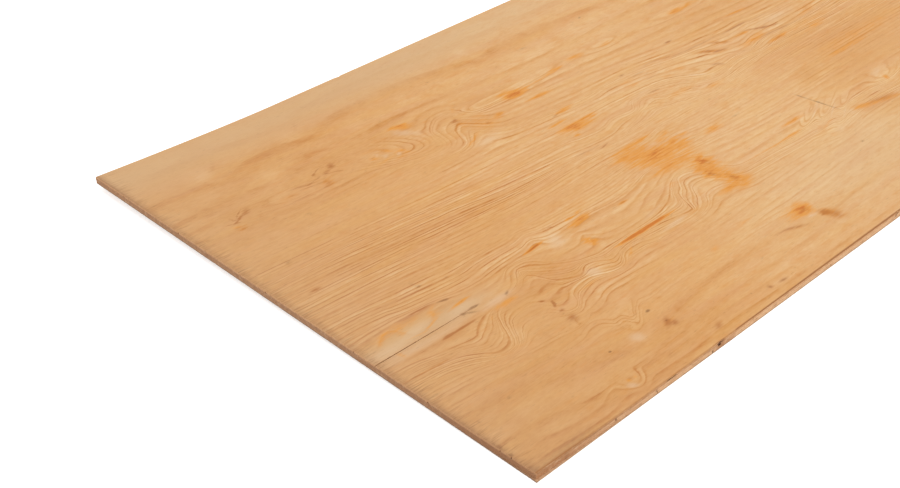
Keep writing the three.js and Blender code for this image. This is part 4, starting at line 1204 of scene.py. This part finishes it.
def splinter_tree(material):
    """Geometry nodes that grow thin splinters along the edges of a mesh of broken edges."""
    tree = bpy.data.node_groups.new("Splinters along an edge", "GeometryNodeTree")
    face = tree.interface
    face.new_socket("Geometry", in_out="INPUT", socket_type="NodeSocketGeometry")
    sockets = {}
    for label, kind, value in (
            ("Spacing", "NodeSocketFloat", 2.5), ("Length", "NodeSocketFloat", 3.0),
            ("Thickness", "NodeSocketFloat", 0.25), ("Spread", "NodeSocketFloat", 0.3),
            ("Seed", "NodeSocketInt", 1)):
        sockets[label] = face.new_socket(label, in_out="INPUT", socket_type=kind)
        sockets[label].default_value = value
    face.new_socket("Geometry", in_out="OUTPUT", socket_type="NodeSocketGeometry")
    given = add(tree, "NodeGroupInput").outputs
    spacing, length, width = (maths(tree, "MULTIPLY", given[label], MM)
                              for label in ("Spacing", "Length", "Thickness"))
    curve = add(tree, "GeometryNodeMeshToCurve", {"Mesh": given["Geometry"]})
    points = add(tree, "GeometryNodeResampleCurve", {
        "Curve": curve, "Length": spacing}, mode="LENGTH")
    points = add(tree, "GeometryNodeCurveToPoints", {"Curve": points}, mode="EVALUATED")
    tip = add(tree, "GeometryNodeMeshCone", {
        "Vertices": 4, "Radius Top": 0.0, "Radius Bottom": width, "Depth": length})
    # a splinter lies along the grain, half in the wood and half out of it
    laid = add(tree, "GeometryNodeTransform", {
        "Geometry": tip.outputs["Mesh"], "Rotation": (0.0, pi / 2, 0.0)})
    wild = add(tree, "FunctionNodeRandomValue", {
        "Min": (-0.12, -1.0, -1.0), "Max": (0.12, 1.0, 1.0), "Seed": given["Seed"]},
        data_type="FLOAT_VECTOR")
    turn = add(tree, "ShaderNodeVectorMath", {
        0: wild.outputs["Value"], "Scale": given["Spread"]}, operation="SCALE")
    half = add(tree, "FunctionNodeRandomValue", {
        "Probability": 0.5, "Seed": 3}, data_type="BOOLEAN")
    facing = add(tree, "GeometryNodeSwitch", {
        "Switch": half.outputs[3], "False": (0.0, 0.0, 0.0), "True": (0.0, 0.0, pi)},
        input_type="VECTOR")
    turn = add(tree, "ShaderNodeVectorMath", {0: turn, 1: facing}, operation="ADD")
    scale = add(tree, "FunctionNodeRandomValue", {2: 0.35, 3: 1.0, "Seed": given["Seed"]},
                data_type="FLOAT")
    grown = add(tree, "GeometryNodeInstanceOnPoints", {
        "Points": points, "Instance": laid, "Rotation": turn, "Scale": scale.outputs[1]})
    real = add(tree, "GeometryNodeRealizeInstances", {"Geometry": grown})
    done = add(tree, "GeometryNodeSetMaterial", {"Geometry": real, "Material": material})
    add(tree, "NodeGroupOutput", {"Geometry": done})
    return tree, sockets


def grown_mesh(name, paths, tree, sockets, values):
    """The plain mesh that the splinter nodes make along the given paths."""
    places = []
    edges = []
    for path in paths:
        edges += [(len(places) + step, len(places) + step + 1) for step in range(len(path) - 1)]
        places += path
    mesh = bpy.data.meshes.new(name + "_paths")
    mesh.from_pydata(bent(places), edges, [])
    guide = bpy.data.objects.new(name + "_guide", mesh)
    bpy.context.scene.collection.objects.link(guide)
    modifier = guide.modifiers.new("Splinters", "NODES")
    modifier.node_group = tree
    for label, value in values.items():
        modifier[sockets[label].identifier] = value
    seen = guide.evaluated_get(bpy.context.evaluated_depsgraph_get())
    grown = bpy.data.meshes.new_from_object(seen)
    grown.name = name
    bpy.data.objects.remove(guide)
    return grown


def kept_inside(mesh, low, high):
    """Moves the few points that stick out of a box back onto it."""
    for vert in mesh.vertices:
        for axis in range(3):
            vert.co[axis] = min(max(vert.co[axis], low[axis]), high[axis])
    mesh.update()


def torn_paths(outline):
    """The stretches of an outline that nobody sawed: the split, the chips and the worn corner."""
    paths = []
    path = []
    for first, second in stretches(outline):
        if side_of(first, second) == "inner":
            path = path or [first]
            path.append(second)
        elif path:
            paths.append(path)
            path = []
    return paths + [path] if path else paths


# ---------------------------------------------------------------- operators

class PLYWOOD_OT_back_veneer(bpy.types.Operator):
    """Builds the back veneer, which lies on the floor"""
    bl_idname = "plywood.back_veneer"
    bl_label = "Build Back Veneer"

    def execute(self, context):
        # its seed lies beyond those of the core strips, which follow the face veneer's
        seed = context.scene.plywood_sizes.seed + 40
        materials = (core_material(), back_edge_material(), back_material())
        show_outer_veneer("back_veneer", materials, (0.0, size("arris")), seed)
        context.view_layer.update()
        return {"FINISHED"}


class PLYWOOD_OT_core_veneers(bpy.types.Operator):
    """Builds the strips of the two core veneers, which run across the sheet"""
    bl_idname = "plywood.core_veneers"
    bl_label = "Build Core Veneers"

    def execute(self, context):
        materials = (core_material(), core_edge_material())
        rough = {"end": size("side_roughness"), "long": size("end_roughness"),
                 "inner": JOINT_ROUGHNESS}
        first_seed = context.scene.plywood_sizes.seed + 1
        for seed, node in enumerate(LOWER_STRIPS + UPPER_STRIPS, first_seed):
            bottom, top = layer_of(node, size("core_thickness"))
            name = node + "_wood"
            mesh = veneer_mesh(name, outline_of(node), bottom, top, rough, materials, seed=seed)
            show(name, mesh, (node,))
        context.view_layer.update()
        return {"FINISHED"}


class PLYWOOD_OT_face_veneer(bpy.types.Operator):
    """Builds the face veneer with its split, chips and figured surface"""
    bl_idname = "plywood.face_veneer"
    bl_label = "Build Face Veneer"

    def execute(self, context):
        seed = context.scene.plywood_sizes.seed
        materials = (face_material(), face_edge_material(), core_material())
        show_outer_veneer("face_veneer", materials, (size("arris"), 0.0), seed)
        context.view_layer.update()
        return {"FINISHED"}


class PLYWOOD_OT_glue_lines(bpy.types.Operator):
    """Fills the gaps between the veneers with films of glue"""
    bl_idname = "plywood.glue_lines"
    bl_label = "Build Glue Lines"

    def execute(self, context):
        glue = glue_material()
        smooth = {"end": 0.0, "long": 0.0, "inner": 0.0}
        # the films stop short of the sawn edges, and touch neither veneer
        set_back = 0.6
        clear = 0.02
        step = 15.0
        middle_x = (NEAR_END + FAR_END) / 2
        middle_y = (FRONT_EDGE + BACK_EDGE) / 2
        face_outline = outline_of("face_veneer")
        worn = [face_outline[index] for index in convex_hull_2d(face_outline)]
        inner = [point - Vector((set_back if point.x > middle_x else -set_back,
                                 set_back if point.y > middle_y else -set_back))
                 for point in worn]
        # each film lies between the top of one layer and the bottom of the next
        back_top = layer_of("back_veneer", size("face_thickness"))[1]
        lower_bottom, lower_top = layer_of("lower_core_strip_7", size("core_thickness"))
        upper_bottom, upper_top = layer_of("upper_core_strip_7", size("core_thickness"))
        face_bottom = SHEET_TOP - size("face_thickness")
        for under, low, high in (("back_veneer", back_top, lower_bottom),
                                 ("lower_core_strip", lower_top, upper_bottom),
                                 ("upper_core_strip", upper_top, face_bottom)):
            name = "glue_line_over_" + under
            mesh = veneer_mesh(name, inner, low + clear, high - clear, smooth, (glue, glue),
                               step=step)
            show(name, mesh)
        context.view_layer.update()
        return {"FINISHED"}


class PLYWOOD_OT_torn_fibres(bpy.types.Operator):
    """Grows splinters in the split, the chips and the worn corner of the face veneer"""
    bl_idname = "plywood.torn_fibres"
    bl_label = "Grow Torn Fibres"

    def execute(self, context):
        seed = context.scene.plywood_sizes.seed
        bottom, top = layer_of("face_veneer", size("face_thickness"))
        paths = torn_paths(outline_of("face_veneer"))
        tree, sockets = splinter_tree(fibre_material())
        # three rows of splinters: near the face, halfway down and near the glue
        heights = (top - 0.5, (top + bottom) / 2, bottom + 0.4)
        raised = [[(point.x, point.y, height) for point in path]
                  for path in paths for height in heights]
        loose = grown_mesh("torn_face_fibres", raised, tree, sockets, {
            "Spacing": 2.2, "Length": 3.2, "Thickness": 0.22, "Spread": 0.28, "Seed": seed})
        # the split is the torn place that reaches farthest along the sheet
        split = max(paths, key=lambda path: max(point.x for point in path) - path[0].x)
        mouth = (split[0] + split[-1]) / 2
        tip = max(split, key=lambda point: point.x)
        bridged = [[(*mouth.lerp(tip, place / (tip.x - mouth.x)), top - depth) for place in ends]
                   for ends in BRIDGES for depth in BRIDGE_DEPTHS]
        bridges = grown_mesh("fibres_across_split", bridged, tree, sockets, {
            "Spacing": 0.7, "Length": 7.0, "Thickness": 0.6, "Spread": 0.10, "Seed": seed})
        low, high = node_box("face_veneer")
        for name, fibres in (("torn_face_fibres", loose), ("fibres_across_split", bridges)):
            kept_inside(fibres, low * MM, high * MM)
            show(name, fibres)
        context.view_layer.update()
        return {"FINISHED"}


# ---------------------------------------------------------------- the stage

# The camera stands in front of the near end, about as high as a standing person's head. Its place
# is in metres, and it looks down and to the left of +X by these angles, in degrees.
CAMERA_PLACE = (-2.5107, -1.7104, 1.6168)
CAMERA_DOWN = 34.45
CAMERA_LEFT = 45.05
SENSOR_WIDTH = 36.0
# Towards the sun, and how many degrees of the sky it fills.
SUN_DIRECTION = (0.35, -0.75, 1.6)
SUN_ANGLE = 40
# The floor reaches this far from the origin, in metres, and lies just below the sheet.
FLOOR_REACH = 30.0
FLOOR_LEVEL = -0.02 * MM
FLOOR_GLOW = 0.61


def add_camera(scene):
    """Adds the camera and makes it the scene's own."""
    camera = bpy.data.objects.new("camera", bpy.data.cameras.new("camera"))
    camera.location = CAMERA_PLACE
    camera.rotation_euler = (radians(90 - CAMERA_DOWN), 0.0, radians(CAMERA_LEFT - 90))
    camera.data.lens = scene.plywood_stage.lens
    camera.data.sensor_width = SENSOR_WIDTH
    camera.data.sensor_fit = "HORIZONTAL"
    scene.collection.objects.link(camera)
    scene.camera = camera


def add_sun(scene):
    """Adds a soft sun from the front and right."""
    lamp = bpy.data.lights.new("key_lamp", "SUN")
    lamp.energy = scene.plywood_stage.key
    lamp.angle = radians(SUN_ANGLE)
    key = bpy.data.objects.new("key_lamp", lamp)
    key.rotation_euler = Vector(SUN_DIRECTION).to_track_quat("Z", "Y").to_euler()
    scene.collection.objects.link(key)


def add_surroundings(scene):
    """Adds even light from all around, which the camera and reflections see as full white."""
    world = bpy.data.worlds.new("white_surroundings")
    world.use_nodes = True
    tree = world.node_tree
    tree.nodes.clear()
    seen = add(tree, "ShaderNodeLightPath").outputs
    shown = maths(tree, "MAXIMUM", seen["Is Camera Ray"], seen["Is Glossy Ray"])
    shown = maths(tree, "MAXIMUM", shown, seen["Is Transmission Ray"])
    strength = ranged(tree, shown, 0, 1, scene.plywood_stage.sky, 1)
    light = add(tree, "ShaderNodeBackground", {"Color": (1, 1, 1, 1), "Strength": strength})
    add(tree, "ShaderNodeOutputWorld", {"Surface": light})
    scene.world = world


def floor_material():
    """Painted studio floor: matt white, lifted to full white where the camera sees it unshaded."""
    material, tree, shader = new_material("matt_white_floor_paint", 0.9, 0.0)
    shader.inputs["Base Color"].default_value = linear("#f2f2f2")
    seen = add(tree, "ShaderNodeLightPath").outputs
    lit = maths(tree, "MULTIPLY", seen["Is Camera Ray"], FLOOR_GLOW)
    shader.inputs["Emission Color"].default_value = (1, 1, 1, 1)
    tree.links.new(lit.outputs[0], shader.inputs["Emission Strength"])
    return material


def add_floor(scene):
    """Adds a white floor that keeps the sheet's soft shadow."""
    mesh = bpy.data.meshes.new("floor")
    mesh.from_pydata([(x * FLOOR_REACH, y * FLOOR_REACH, FLOOR_LEVEL)
                      for x, y in ((-1, -1), (1, -1), (1, 1), (-1, 1))], [], [(0, 1, 2, 3)])
    floor = bpy.data.objects.new("floor", mesh)
    scene.collection.objects.link(floor)
    floor.data.materials.append(floor_material())


class PLYWOOD_OT_stage(bpy.types.Operator):
    """Adds the floor, the sun, the white surroundings and the camera"""
    bl_idname = "plywood.stage"
    bl_label = "Add Stage"

    def execute(self, context):
        context.scene.view_settings.view_transform = "Standard"
        for add_part in (add_camera, add_sun, add_surroundings, add_floor):
            add_part(context.scene)
        return {"FINISHED"}


# ---------------------------------------------------------------- the add-on

STEPS = (
    PLYWOOD_OT_stage, PLYWOOD_OT_back_veneer, PLYWOOD_OT_core_veneers, PLYWOOD_OT_face_veneer,
    PLYWOOD_OT_glue_lines, PLYWOOD_OT_torn_fibres,
)
GROUPS = {"plywood_sizes": SheetSizes, "plywood_colours": WoodColours,
          "plywood_stage": StageSettings}


class PLYWOOD_PT_panel(bpy.types.Panel):
    """Lists the settings and the steps that build the sheet"""
    bl_label = "Plywood Sheet"
    bl_space_type = "VIEW_3D"
    bl_region_type = "UI"
    bl_category = "Plywood"

    def draw(self, context):
        for group, kind in GROUPS.items():
            for name in kind.__annotations__:
                self.layout.prop(getattr(context.scene, group), name)
        for step in STEPS:
            self.layout.operator(step.bl_idname)


CLASSES = (*GROUPS.values(), *STEPS, PLYWOOD_PT_panel)


def register():
    for item in CLASSES:
        bpy.utils.register_class(item)
    for group, kind in GROUPS.items():
        setattr(bpy.types.Scene, group, PointerProperty(type=kind))


def unregister():
    for group in GROUPS:
        delattr(bpy.types.Scene, group)
    for item in reversed(CLASSES):
        bpy.utils.unregister_class(item)


def main():
    register()
    for step in STEPS:
        group, name = step.bl_idname.split(".")
        getattr(getattr(bpy.ops, group), name)()


if __name__ == "__main__":
    main()
